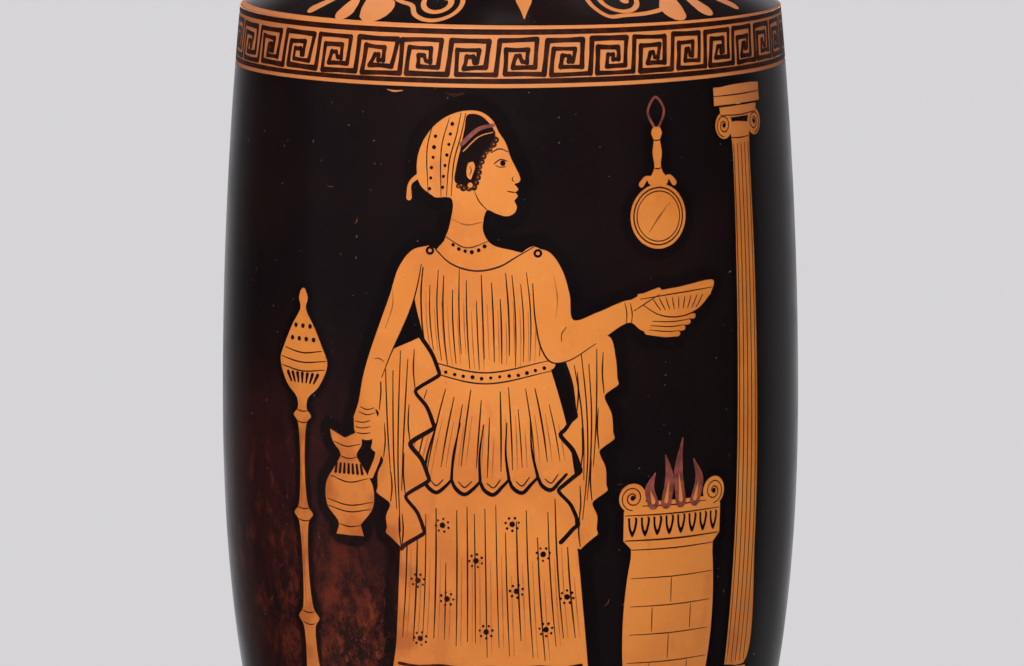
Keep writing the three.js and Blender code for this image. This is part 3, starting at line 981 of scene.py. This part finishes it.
def mirror(x=35.5):
    """A round mirror that hangs by its handle from a cord."""
    m = Motif(2.2)
    m.brush(RED, [(x - 0.2, 24), (x - 2.2, 19.6), (x, 16.4), (x + 2.2, 19.4), (x + 0.2, 24)], 0.6, 0.6)
    m.turned(CLAY, x, [
        (0.9, 23.2), (1.5, 24.6), (0.9, 26), (1.3, 29), (0.9, 32), (1.5, 33.6), (2.8, 35.4), (1.2, 37),
    ])
    m.dot(CLAY, x, 43.4, 7.4)
    for side in (-1, 1):
        m.brush(CLAY, [(x + side * 0.6, 35.6), (x + side * 3, 34.6), (x + side * 4.4, 36)], 1.3, 1.1, 1.5)
    for radius, width in ((6.5, 0.42), (5.7, 0.3)):
        m.lines.append((curl((x, -43.4), radius, radius, 100, 360, 30), [width, width]))
    for down in (26, 32.4):
        m.level(x, 1.1, down, 0.3)
    m.brush(DILUTE, [(x - 2.6, 46.8), (x, 43.6), (x + 3, 40.4)], 0.2, 0.5, 0.2)
    return m


def picture():
    near_end = shawl_end(
        -1,
        [(-20.4, 70), (-31.4, 76)],
        [(4.4, 8.5, -1.2, 3.6)] * 4,
        [(-2.2, 9.5, 0.9, 2.0), (-2.0, 8.6, 1.1, 2.0), (-1.8, 8.0, 1.6, 2.2), (-1.2, 7.0, 2.6, 3.0)],
    )
    far_end = shawl_end(
        1,
        [(11.4, 74), (22.4, 70)],
        [(3.4, 14.0, -0.2, 3.6), (4.6, 9.0, -0.4, 3.8), (4.6, 8.4, 0.6, 3.6)],
        [(2.4, 11.0, -1.0, 2.2), (2.4, 10.2, -1.2, 2.4), (2.0, 9.4, -1.6, 2.4), (1.4, 7.6, -2.6, 3.0)],
    )
    things = [column(), incense_stand(), altar(), mirror()]
    return things + [woman(), near_end, far_end, near_arm_and_jug(), far_arm_and_bowl()]


PICTURE = picture()


def scratches(count=12):
    """Short worn lines, where the gloss has gone down to the clay."""
    shapes = []
    for _ in range(count):
        x, down = rng.uniform(-90, 90), rng.uniform(18, 155)
        turn, length = rng.uniform(0, math.pi), rng.uniform(0.6, 2.4)
        bend = rng.uniform(-0.3, 0.3)
        end = (x + length * math.cos(turn), down + length * math.sin(turn))
        middle = (mix(x, end[0], 0.5) + bend, mix(down, end[1], 0.5) + bend)
        shapes.append((CLAY, ribbon(flipped([(x, down), middle, end]), [0.05, 0.12, 0.05], 1.0)))
    return shapes


def body_shapes():
    shapes = []
    for paint, extra in ((HALF_DENSE, 1.1), (DENSE, 0)):
        shapes += [(paint, stripe) for motif in PICTURE for stripe in motif.around(extra)]
    shapes += scratches()
    shapes += [shape for motif in PICTURE for shape in motif.shapes]

    # The upper band, with two slips of the brush under it
    shapes += [
        (CLAY, ring_band(DRAWING_TOP - 1.45, BAND_BOTTOM, 0.16)),
        (CLAY, ribbon(flipped([(-29.8, 14.4), (-28, 14.7), (-25.8, 14.5)]), [0.2, 0.5, 0.2])),
        (THIN, ribbon(flipped([(-15.4, 14.7), (-13.4, 15.2), (-11, 14.8)]), [0.3, 0.9, 0.3])),
        (THIN, ring_band(0.42, 1.52, 0.06, 0.08)),
        (THIN, ring_band(11.4, 12.5, 0.1)),
    ]
    shapes += running_key(2.3, 11.05, 1.06)

    # The ground band
    shapes += [
        (CLAY, ring_band(GROUND, PICTURE_BOTTOM + 1, 0.08)),
        (THIN, ring_band(GROUND + 1, GROUND + 1.9, 0.06)),
        (THIN, ring_band(PICTURE_BOTTOM - 1.9, PICTURE_BOTTOM - 1.0, 0.06)),
    ]
    shapes += running_key(GROUND + 2.7, PICTURE_BOTTOM - 2.6, 0.95)
    return wrapped(shapes)


def dress_body():
    rim = BODY_TOP - RIM_JOINT
    floor = BODY_START + FLOOR_THICKNESS
    outside = body_wall(BODY_START, rim, 90)
    hollow = body_wall(floor, rim, 40, floor, STEM_RADIUS / 2, BODY_RADIUS - BODY_WALL)[::-1]
    clay_section("body", np.vstack([[(0, FOOT_TOP), (STEM_RADIUS, FOOT_TOP)], outside, hollow, [(0, floor)]]))

    top, bottom = -DRAWING_TOP, -PICTURE_BOTTOM
    corners = [(-GIRTH / 2, bottom), (GIRTH / 2, bottom), (GIRTH / 2, top), (-GIRTH / 2, top)]
    sides = zip(corners, corners[1:] + corners[:1], (144, 70, 144, 70))
    domain = np.vstack([np.linspace(a, b, steps, endpoint=False) for a, b, steps in sides])
    flat, tris, shown = triangulate(domain, body_shapes(), spacing=3.0)
    tris = joined_seam(flat, tris)
    for name, paint, look, lift in (
        ("body_gloss", GLOSS, "gloss", COAT),
        ("body_thin_gloss", THIN, "thin_gloss", COAT),
        ("body_contour_gloss", DENSE, "dense_gloss", COAT + 0.01),
        ("body_contour_edge", HALF_DENSE, "half_dense_gloss", COAT),
        ("body_dilute_lines", DILUTE, "dilute_gloss", COAT * 0.4),
        ("body_added_red", RED, "added_red", COAT + 0.02),
    ):
        add_piece(paint_solid(name, flat, tris[shown == paint], on_body, lift), look)
    lines = []
    for k, motif in enumerate(PICTURE):
        covers = [polygon for later in PICTURE[k + 1:] for paint, polygon in later.shapes if paint == CLAY]
        for points, widths in motif.lines:
            lines += uncovered(points, widths, covers)
    add_piece(relief("body_relief_lines", lines, on_body), "relief")
    gloss_coat("body_lower_gloss", body_wall(BODY_START, BODY_TOP - PICTURE_BOTTOM - 0.2, 30))


def tendril(stem, winding, width=1.15):
    """A stalk that runs into a spiral with a thick end."""
    stalk = ribbon(stem + winding, [width * 0.8, width, width, width, width * 1.25])
    return [(CLAY, stalk), (CLAY, disc(winding[-1], width * 0.95))]


def palmette(heart, leaves):
    """Blunt leaves that spring from a heart; each is (tip, width)."""
    shapes = []
    heart = np.array(heart)
    for tip, width in leaves:
        tip = np.array(tip)
        reach = np.linalg.norm(tip - heart)
        end = heart + (tip - heart) * (1 - width / 2 / reach)
        start = heart + (tip - heart) * 0.2
        widths = [0.8, width * 0.42, width * 0.8, width]
        shapes.append((CLAY, ribbon([start, mix(start, end, 0.6), end], widths)))
    return shapes + [(CLAY, disc(heart, 3.2)), (GLOSS, disc(heart, 2.2)), (CLAY, disc(heart, 1.2))]


def fan(turn_degrees, depth, size):
    """The leaves and heart of an even palmette on the shoulder; its middle leaf points outwards."""
    heart = np.array(polar(turn_degrees, RIM_RADIUS - depth))
    leaves = []
    for k in range(-3, 4):
        tip = heart + polar(turn_degrees + k * 31, size * (1 - 0.035 * k * k))
        leaves.append((tip, size * (0.36 - 0.03 * abs(k))))
    return palmette(heart, leaves)


def shoulder_shapes():
    bud = ribbon([polar(3.2, 50), polar(3.2, 55), polar(3.0, 60)], [2.4, 4.3, 3.3, 1.6, 0.3], 0.8)
    shapes = [(CLAY, bud), (CLAY, disc(polar(3.2, 46.6), 1.5))]
    horn = ((1.5, 47), (5, 48.6), (9, 47.2), (10, 43.6), (7, 42.4))
    for side in (-1, 1):
        path = [polar(3.2 + side * turn, radius) for turn, radius in horn]
        shapes.append((CLAY, ribbon(path, [0.9, 1.2, 1.1, 0.9, 1.5])))

    # In front, to the left and right of the hanging bud
    left_stem = [polar(-12, 38), (-20, -38), (-27, -44.5), (-24.9, -49.1)]
    shapes += tendril(left_stem, curl((-15.9, -52.6), 6.5, 2.2, 172, 585))
    shapes += palmette((-32, -38.3), [
        ((-29.6, -53.5), 8.2), ((-38.9, -48.2), 4.7), ((-46.4, -38.9), 3.0), ((-22.6, -45.5), 4.2),
        ((-20.6, -37.2), 3.4), ((-43.5, -31.5), 3.4),
    ])
    right_stem = [polar(40, 44), (37.6, -42), (35.2, -46.3), (30.8, -50.8), (25.5, -54)]
    shapes += tendril(right_stem, curl((23.6, -48.4), 7.2, 2.2, -100, -620), 1.2)
    shapes += palmette((35, -34.5), [
        ((37.4, -49.2), 6.3), ((45.9, -41), 4.6), ((52.3, -30.2), 3.0), ((27.6, -41), 3.4),
        ((46, -25), 3.4), ((25, -33), 3.2),
    ])

    # Round the sides, out to the handle
    for side in (-1, 1):
        ring = polar(side * 79, 52.5)
        stem = [polar(side * turn, radius) for turn, radius in ((58, 42), (66, 40.5), (75, 44))]
        shapes += tendril(stem, curl(ring, 7, 2.2, -90 + side * 170, -side * 560))
        shapes += fan(side * 106, 17.5, 14.5)
        arch = [polar(side * turn, radius) for turn, radius in (
            (84, 43), (94, 37.5), (107, 35.5), (120, 37.5), (131, 43), (135, 50), (132, 56.5),
        )]
        shapes += [(CLAY, ribbon(arch, [1.0, 1.1, 1.1, 0.8])), (CLAY, disc(arch[-1], 1.3))]
    return shapes


def neck_tongues(count=30):
    """A ring of black tongues on clay round the neck's seat."""
    inner, outer = NECK_SEAT + 0.4, NECK_SEAT + 8.6
    rings = ((CLAY, 1.5), (GLOSS, 0.9), (CLAY, 0.2))
    shapes = [(paint, disc((0, 0), outer + wider, 160)) for paint, wider in rings]
    for k in range(count):
        turn = 360 * (k + rng.uniform(-0.08, 0.08)) / count
        tongue = [polar(turn, inner + 1.4), polar(turn, inner + 4), polar(turn, outer - 1.9)]
        shapes.append((GLOSS, ribbon(tongue, [1.9, 2.3, 2.9], 1.2)))
        beside = turn + 180 / count
        shapes.append((GLOSS, ribbon([polar(beside, inner), polar(beside, outer + 0.4)], [0.45, 0.4])))
    return shapes


def dress_shoulder():
    line = shoulder_line(60)
    rim = BODY_TOP - RIM_JOINT
    turn = bezier(
        (body_radius(rim), rim),
        (RIM_RADIUS, BODY_TOP - 0.1),
        (RIM_RADIUS - 0.05, BODY_TOP + 0.05),
        line[1],
        6,
    )
    inner_edge = RIM_RADIUS - BODY_WALL
    throat = SHOULDER_TOP - SHOULDER_WALL * 1.3
    under = bezier(
        (BORE, throat),
        (NECK_SEAT, throat - SHOULDER_WALL * 0.6),
        (inner_edge * 0.72, BODY_TOP + SHOULDER_WALL * 1.3),
        (inner_edge, BODY_TOP),
        30,
    )
    clay_section("shoulder", np.vstack([turn, line[2:], [(BORE, SHOULDER_TOP)], under, [(inner_edge, rim)]]))

    # The gloss stops a little short of the edge, less so on the right, and the clay shows as a line
    short, uneven = 0.85, 0.45
    angles = np.linspace(0, 2 * math.pi, 240, endpoint=False)
    reach = RIM_RADIUS - short + uneven * np.sin(angles)
    domain = np.column_stack([reach * np.sin(angles), -reach * np.cos(angles)])
    flat, tris, shown = triangulate(domain, shoulder_shapes() + neck_tongues(), spacing=2.6)
    add_piece(paint_solid("shoulder_gloss", flat, tris[shown == GLOSS], on_shoulder, COAT), "gloss")


def dress_neck():
    share = np.linspace(0, 1, 41)
    below = share < WAIST_SHARE
    away = np.where(below, 1 - share / WAIST_SHARE, (share - WAIST_SHARE) / (1 - WAIST_SHARE))
    radius = mix(NECK_WAIST, np.where(below, NECK_BASE, NECK_END), away**2)
    side = np.column_stack([radius, mix(SHOULDER_TOP, NECK_TOP, share)])
    clay_section("neck", np.vstack([side, [(BORE, NECK_TOP), (BORE, SHOULDER_TOP)]]))
    gloss_coat("neck_gloss", side)


def dress_mouth():
    height = MOUTH_TOP - NECK_TOP
    lip_foot = MOUTH_TOP - LIP_HEIGHT
    middle = (MOUTH_BELLY, NECK_TOP + height * 0.42)
    belly = bezier(
        (MOUTH_SEAT, NECK_TOP),
        (MOUTH_BELLY - 2, NECK_TOP + height * 0.02),
        (MOUTH_BELLY - 0.8, NECK_TOP + height * 0.24),
        middle,
        24,
    )
    flare = bezier(
        middle,
        (MOUTH_BELLY + 1, NECK_TOP + height * 0.64),
        (LIP_RADIUS - 3, lip_foot - height * 0.14),
        (LIP_RADIUS - LIP_ROUNDING, lip_foot),
        24,
    )
    side = np.vstack([belly, flare[1:]])
    inner = LIP_RADIUS - LIP_WIDTH
    lip = np.array([
        (LIP_RADIUS, lip_foot + LIP_ROUNDING),
        (LIP_RADIUS, MOUTH_TOP - LIP_ROUNDING),
        (LIP_RADIUS - 0.25, MOUTH_TOP - 0.25),
        (LIP_RADIUS - LIP_ROUNDING, MOUTH_TOP),
        (inner + LIP_ROUNDING, MOUTH_TOP),
        (inner + 0.25, MOUTH_TOP - 0.25),
    ])
    floor = MOUTH_TOP - CUP_DEPTH
    cup = bezier(
        (inner, MOUTH_TOP - LIP_ROUNDING),
        (MOUTH_BELLY - MOUTH_WALL, MOUTH_TOP - CUP_DEPTH * 0.36),
        (MOUTH_BELLY - MOUTH_WALL, floor + CUP_DEPTH * 0.1),
        (BORE, floor),
        32,
    )
    clay_section("mouth", np.vstack([[(BORE, NECK_TOP)], side, lip, cup]))
    gloss_coat("mouth_gloss", np.vstack([[(NECK_END, NECK_TOP)], side, lip[:2]]))
    gloss_coat("mouth_inner_gloss", cup[1:])


def dress_foot():
    hollow_edge = FOOT_RADIUS - FOOT_BEVEL - STANDING_RING
    underside = bezier(
        (STEM_RADIUS / 2, FOOT_HOLLOW),
        (STEM_RADIUS, FOOT_HOLLOW),
        (hollow_edge - FOOT_BEVEL, FOOT_HOLLOW / 2),
        (hollow_edge, 0),
        20,
    )
    lower = bezier(
        (FOOT_RADIUS - FOOT_BEVEL, 0),
        (FOOT_RADIUS + 0.4, LOWER_DEGREE * 0.25),
        (FOOT_RADIUS + 0.2, LOWER_DEGREE * 0.85),
        (FOOT_RADIUS - FOOT_STEP_BACK * 0.7, LOWER_DEGREE),
        16,
    )
    start = LOWER_DEGREE + GROOVE_WIDTH
    end = start + UPPER_DEGREE
    radius = FOOT_RADIUS - FOOT_STEP_BACK
    edge = bezier(
        (radius - 0.5, start),
        (radius + 0.4, start + UPPER_DEGREE * 0.3),
        (radius, start + UPPER_DEGREE * 0.8),
        (radius - FOOT_STEP_BACK * 2, end),
        14,
    )
    top = bezier(
        (radius - FOOT_STEP_BACK * 2.4, end + 0.15),
        (mix(FOOT_RADIUS, FOOT_SEAT, 0.6), end + 0.5),
        (FOOT_SEAT + 2, FOOT_TOP - 0.8),
        (FOOT_SEAT, FOOT_TOP),
        14,
    )
    groove = [(radius - GROOVE_DEPTH, LOWER_DEGREE), (radius - GROOVE_DEPTH, start)]
    profile = np.vstack([[(0, FOOT_HOLLOW)], underside, lower, groove, edge, top, [(0, FOOT_TOP)]])
    clay_section("foot", profile)
    gloss_coat("foot_gloss", np.vstack([edge[2:], top]))


def dress_coil(node, hugged, seat):
    start = hugged + SEAT_GAP
    flat, out = start + COIL_WIDTH * 0.55, start + COIL_WIDTH * 1.15
    top = seat + COIL_HEIGHT
    bead = bezier((flat, seat), (out, seat), (out, top), (flat, top), 24)
    add_piece(revolved(node, np.vstack([[(start, seat)], bead, [(start, top)]])), "clay", node)


def handle_line():
    stance = BODY_TOP + (SHOULDER_TOP - BODY_TOP) * 0.36
    top = NECK_TOP - HANDLE_TOP_DROP
    inward = NECK_WAIST - 4
    turn_in = HANDLE_REACH - inward
    return smooth(
        [
            (HANDLE_STANCE - 3, stance - 7),
            (HANDLE_STANCE + 1.5, stance + 9),
            (HANDLE_REACH - 1, mix(stance, top, 0.48)),
            (HANDLE_REACH - turn_in * 0.06, mix(stance, top, 0.78)),
            (HANDLE_REACH - turn_in * 0.3, top - 1.5),
            (HANDLE_REACH - turn_in * 0.62, top + 0.5),
            (inward, top - 4),
        ],
        0.8,
    )


def handle_tube(name, first_turn, last_turn, lift):
    """An oval tube along the handle, or a strip of its skin where the turns don't close."""
    turns = [(turn, lift) for turn in np.radians(np.linspace(last_turn, first_turn, 49))]
    if last_turn - first_turn >= 360:
        turns = turns[:-1]
    else:
        turns = [(turn, -CLAY_INSET - SUNK) for turn, _ in turns[::-1]] + turns
    line = handle_line()
    loops = []
    for share, centre, out in zip(np.linspace(0, 1, len(line)), line, normals(line)):
        spread = 1 + HANDLE_FLARE * abs(2 * share - 1) ** 6
        loop = []
        for turn, raised in turns:
            wide = (HANDLE_WIDTH / 2 * spread + raised) * math.cos(turn)
            deep = (HANDLE_THICKNESS / 2 * spread + raised) * math.sin(turn)
            if math.sin(turn) > 0:
                deep += HANDLE_RIDGE * math.exp(-((wide / HANDLE_RIDGE_WIDTH) ** 2))
            loop.append((wide, *(centre + out * deep)))
        loops.append(loop)
    verts, faces = [], []
    add_tube(verts, faces, loops)
    mesh = new_mesh(name, verts, faces)
    mesh.set_sharp_from_angle(angle=math.radians(50))
    return mesh


def dress_handle():
    add_piece(handle_tube("handle_clay", 0, 360, -CLAY_INSET), "clay", "handle")
    add_piece(handle_tube("handle_gloss", -28, 208, COAT - CLAY_INSET), "gloss")


# Materials

# Clouds in the clay and the gloss are a little taller than wide
STRETCH = (1, 1, 0.7)


class Recipe:
    """A short way to write a node tree: each step adds a node and gives one of its outputs."""

    def __init__(self, owner, shader="Principled BSDF"):
        owner.use_nodes = True
        self.owner = owner
        self.tree = owner.node_tree
        self.shader = self.tree.nodes[shader]
        self.place = self.add("TexCoord", "Object")

    def feed(self, target, value):
        if isinstance(value, bpy.types.NodeSocket):
            self.tree.links.new(value, target)
        elif target.type == "RGBA":
            target.default_value = (*value, 1)
        else:
            target.default_value = value

    def add(self, kind, output=0, inputs=None, **settings):
        node = self.tree.nodes.new("ShaderNode" + kind)
        for key, value in settings.items():
            setattr(node, key, value)
        for key, value in (inputs or {}).items():
            self.feed(node.inputs[key], value)
        return node.outputs[output]

    def noise(self, size_mm, detail=4, stretch=(1, 1, 1), rough=0.5):
        scale = [s / (size_mm * MM) for s in stretch]
        place = self.add("Mapping", 0, {"Vector": self.place, "Scale": scale})
        ways = {"Vector": place, "Scale": 1, "Detail": detail, "Roughness": rough}
        return self.add("TexNoise", "Fac", ways)

    def step(self, value, low, high, to_low=0, to_high=1):
        """A soft step between two levels, as the value goes from low to high."""
        ends = {"Value": value, "From Min": low, "From Max": high, "To Min": to_low, "To Max": to_high}
        return self.add("MapRange", "Result", ends, interpolation_type="SMOOTHSTEP")

    def math(self, operation, a, b):
        return self.add("Math", 0, {0: a, 1: b}, operation=operation)

    def blend(self, amount, a, b):
        return self.add("Mix", 2, {0: amount, 6: a, 7: b}, data_type="RGBA")

    def near(self, centre_mm, radius_mm):
        """1 at a place, falling to 0 at a radius."""
        centre = [c * MM for c in centre_mm]
        away = self.add("VectorMath", "Value", {0: self.place, 1: centre}, operation="DISTANCE")
        return self.step(away, 0, radius_mm * MM, 1, 0)

    def rising(self, low_mm, high_mm, most):
        """0 below a height, going up to the most at another."""
        height = self.add("SeparateXYZ", "Z", {0: self.place})
        return self.step(height, low_mm * MM, high_mm * MM, 0, most)

    def ray(self, kind):
        return self.add("LightPath", f"Is {kind} Ray")

    def look(self, colour, roughness):
        self.feed(self.shader.inputs["Base Color"], colour)
        self.feed(self.shader.inputs["Roughness"], roughness)

    def bump(self, height, strength, distance_mm):
        bump = self.add("Bump", 0, {"Height": height, "Strength": strength, "Distance": distance_mm * MM})
        self.feed(self.shader.inputs["Normal"], bump)


def clay_material():
    m = Recipe(bpy.data.materials.new("fired_clay"))
    colour = (0.745, 0.232, 0.031)
    for cloud, low, high, share, tone in (
        (m.noise(30, 5), 0.42, 0.72, 1, (0.62, 0.165, 0.018)),
        (m.noise(7, 5, (1, 1, 0.45)), 0.60, 0.74, 0.55, (0.56, 0.135, 0.020)),
        (m.noise(2.2, 3), 0.55, 0.8, 0.3, (0.84, 0.31, 0.070)),
        (m.noise(0.55, 2), 0.70, 0.76, 0.55, (0.34, 0.08, 0.02)),
    ):
        colour = m.blend(m.step(cloud, low, high, 0, share), colour, tone)

    # Paler under the shoulder's edge as a painted sheen, browner at the sides as painted shade, and browner
    # low on the left
    colour = m.blend(m.rising(206, 219, 0.5), colour, (0.715, 0.262, 0.098))
    for centre, reach, share, tone in (
        # The first two patches are painted shade at the sides, where the light falls off; the third is
        # browner clay low on the left
        ((-64, -10, 222), 52, 0.7, (0.42, 0.125, 0.045)),
        ((64, -6, 222), 60, 0.7, (0.42, 0.125, 0.045)),
        ((-52, -42, 92), 85, 0.45, (0.50, 0.12, 0.017)),
    ):
        colour = m.blend(m.step(m.near(centre, reach), 0, 0.7, 0, share), colour, tone)

    # Mottled where the gloss beside it has fired red
    mottled = m.step(m.near((-55, -38, 96), 70), 0, 0.5, 0, 0.8)
    clouds = m.step(m.noise(6, 5, STRETCH), 0.42, 0.64)
    colour = m.blend(m.math("MULTIPLY", mottled, clouds), colour, (0.42, 0.085, 0.010))
    m.look(colour, m.step(m.noise(9, 3), 0.3, 0.7, 0.42, 0.58))
    m.bump(m.noise(0.9, 4), 0.12, 0.15)
    return m.owner


def gloss_material(name, black, brown, fired_red):
    """Black gloss; fired_red says how much it turns red, low on the left of the picture side."""
    m = Recipe(bpy.data.materials.new(name))
    colour = m.blend(m.step(m.noise(34, 5), 0.42, 0.7), black, brown)
    for centre, reach, blotch, low, high, tone in FIRINGS:
        place = m.step(m.near(centre, reach), 0.08, 0.75, 0, fired_red)
        cloud = m.step(m.noise(blotch, 9, STRETCH, 0.76), low, high)
        colour = m.blend(m.math("MULTIPLY", place, cloud), colour, tone)

    # Fine pale grains
    colour = m.blend(m.step(m.noise(1.05, 1), 0.775, 0.80, 0, 0.6), colour, (0.16, 0.12, 0.11))
    m.look(colour, m.step(m.noise(14, 4), 0.3, 0.7, 0.15, 0.24))
    m.bump(m.noise(1.6, 3), 0.08, 0.12)
    return m.owner


# Where the gloss has fired red: (centre, reach, size of the blotches, their edge's low and high, colour)
FIRINGS = [
    ((-52, -42, 108), 76, 16, 0.30, 0.62, (0.030, 0.0072, 0.0066)),
    ((-60, -26, 102), 66, 5, 0.50, 0.66, (0.080, 0.0150, 0.0085)),
    ((-36, -55, 84), 50, 7, 0.44, 0.64, (0.120, 0.0200, 0.0085)),
    ((-30, -58, 78), 38, 2.0, 0.50, 0.68, (0.190, 0.0330, 0.0120)),
]


def slip_material(name, patches, dark, light, roughness, gloss, grain, strength, depth_mm):
    """Slip for lines, with paler patches and a fine grain.

    The patches are (size, detail, low, high) and the grain is (size, detail).
    """
    m = Recipe(bpy.data.materials.new(name))
    size, detail, low, high = patches
    colour = m.blend(m.step(m.noise(size, detail), low, high), dark, light)
    m.look(colour, roughness)
    m.shader.inputs["Specular IOR Level"].default_value = gloss
    m.bump(m.noise(*grain), strength, depth_mm)
    return m.owner


def added_red_material():
    m = Recipe(bpy.data.materials.new("added_red"))
    colour = m.blend(m.step(m.noise(2, 4), 0.35, 0.65), (0.150, 0.026, 0.018), (0.300, 0.058, 0.036))
    m.look(m.blend(m.step(m.noise(0.8, 3), 0.6, 0.7, 0, 0.7), colour, (0.05, 0.012, 0.010)), 0.62)
    m.bump(m.noise(0.7, 3), 0.25, 0.12)
    return m.owner


# Stage, camera and light

PAPER = (0.672, 0.659, 0.682)
SHADOW_REACH = 460


def stage_material():
    """Paper that keeps the shadow near the vessel and is even far from it; mirrored rays pass through."""
    m = Recipe(bpy.data.materials.new("stage_paper"))
    m.look((0.735, 0.72, 0.745), 0.9)
    far = m.math("SUBTRACT", 1, m.near((0, 0, 0), SHADOW_REACH))
    even = m.add("Emission", 0, {"Color": PAPER})
    seen_far = m.math("MULTIPLY", far, m.ray("Camera"))
    paper = m.add("MixShader", 0, {0: seen_far, 1: m.shader.outputs[0], 2: even})
    onward = m.math("MAXIMUM", m.ray("Glossy"), m.ray("Transmission"))
    surface = m.add("MixShader", 0, {0: onward, 1: paper, 2: m.add("BsdfTransparent")})
    m.feed(m.tree.nodes["Material Output"].inputs["Surface"], surface)
    return m.owner


def add_stage():
    half = 6000
    corners = [(-half, -half, 0), (half, -half, 0), (half, half, 0), (-half, half, 0)]
    mesh = new_mesh("floor", corners, [(0, 1, 2, 3)])
    mesh.materials.append(stage_material())
    floor = bpy.data.objects.new("floor", mesh)
    bpy.context.collection.objects.link(floor)


def aimed(name, data, place, aim):
    """Adds a camera or a lamp at a place, turned to a point."""
    thing = bpy.data.objects.new(name, data)
    thing.location = place
    thing.rotation_euler = (Vector(aim) - Vector(place)).to_track_quat("-Z", "Y").to_euler()
    bpy.context.collection.objects.link(thing)
    return thing


def add_camera():
    distance, height, aside = 2.2, 0.4317, 0.00036
    aim_height, frame_width = 0.152, 0.2386
    place = Vector((aside, -distance, height))
    aim = Vector((aside, 0, aim_height))
    data = bpy.data.cameras.new("camera")
    data.sensor_width = 36
    data.lens = data.sensor_width * (aim - place).length / frame_width
    bpy.context.scene.camera = aimed("camera", data, place, aim)


def add_lights():
    middle = (0, 0, 0.16)
    for name, place, size, power in (
        ("left_key_softbox", (-1.0, -1.95, 1.8), 0.8, 45),
        ("right_fill_softbox", (0.62, -2.1, 1.8), 0.8, 27),
        ("high_softbox", (0, -0.85, 2.2), 0.8, 9),
        ("back_softbox", (0, 1.9, 1.5), 0.6, 22),
    ):
        data = bpy.data.lights.new(name, "AREA")
        data.shape = "SQUARE"
        data.size = size
        data.energy = power
        aimed(name, data, place, middle)


# How bright the room is by the turn round the vessel, in degrees; 0 is behind it
ROOM_BY_TURN = [
    (-180, 0.016), (-130, 0.030), (-108, 0.052), (-93, 0.070), (-89, 0.004), (-54, 0.008), (-44, 0.05),
    (-34, 0.10), (-22, 0.26), (0, 0.62), (20, 0.28), (34, 0.155), (50, 0.125), (64, 0.03), (80, 0.008),
    (180, 0.016),
]


def add_world():
    """The camera sees even pale paper; round the vessel the paper is behind and a dark room in front."""
    world = bpy.data.worlds.new("studio")
    bpy.context.scene.world = world
    m = Recipe(world, "Background")
    x, y, z = (m.add("SeparateXYZ", axis, {0: m.add("TexCoord", "Generated")}) for axis in "XYZ")
    turn = {"Value": m.math("ARCTAN2", x, y), "From Min": -math.pi, "From Max": math.pi}
    room = m.add("ValToRGB", "Color", {"Fac": m.add("MapRange", "Result", turn)})
    elements = room.node.color_ramp.elements
    for degrees, _ in ROOM_BY_TURN[1:-1]:
        elements.new((degrees + 180) / 360)
    for element, (_, level) in zip(elements, ROOM_BY_TURN):
        element.color = (level, level * 0.98, level * 1.02, 1)

    # The room's brightness fades towards its ceiling
    fade = m.step(z, 0.55, 0.2, 0.06, 1)
    room = m.add("VectorMath", 0, {0: room, "Scale": fade}, operation="SCALE")
    seen = m.math("MAXIMUM", m.ray("Camera"), m.ray("Transmission"))
    m.feed(m.shader.inputs["Color"], m.blend(seen, room, PAPER))


bpy.context.scene.view_settings.view_transform = "Standard"
add_stage()
add_camera()
add_lights()
add_world()
MATERIALS = {
    "clay": clay_material(),
    "gloss": gloss_material("black_gloss", (0.0080, 0.0043, 0.0049), (0.0125, 0.0056, 0.0056), 1.0),
    "half_dense_gloss": gloss_material(
        "half_dense_gloss", (0.0066, 0.0037, 0.0042), (0.0105, 0.0049, 0.0050), 0.6
    ),
    "dense_gloss": gloss_material("dense_gloss", (0.0052, 0.0030, 0.0034), (0.0085, 0.0042, 0.0043), 0.2),
    "thin_gloss": slip_material(
        "thin_gloss", (2.4, 3, 0.42, 0.72), (0.0220, 0.0052, 0.0026), (0.060, 0.0100, 0.0034),
        0.42, 0.2, (1.2, 3), 0.1, 0.12
    ),
    "dilute_gloss": slip_material(
        "dilute_gloss", (3, 3, 0.35, 0.65), (0.30, 0.075, 0.016), (0.48, 0.13, 0.026),
        0.42, 0.5, (1.2, 3), 0.1, 0.08
    ),
    "relief": slip_material(
        "relief_line", (5, 3, 0.35, 0.65), (0.011, 0.0034, 0.0020), (0.046, 0.0085, 0.0024),
        0.3, 0.3, (0.6, 2), 0.15, 0.05
    ),
    "added_red": added_red_material(),
}
dress_foot()
dress_coil("foot_fillet", STEM_RADIUS, FOOT_TOP)
dress_body()
dress_shoulder()
dress_coil("neck_fillet", NECK_BASE, SHOULDER_TOP)
dress_neck()
dress_mouth()
dress_handle()
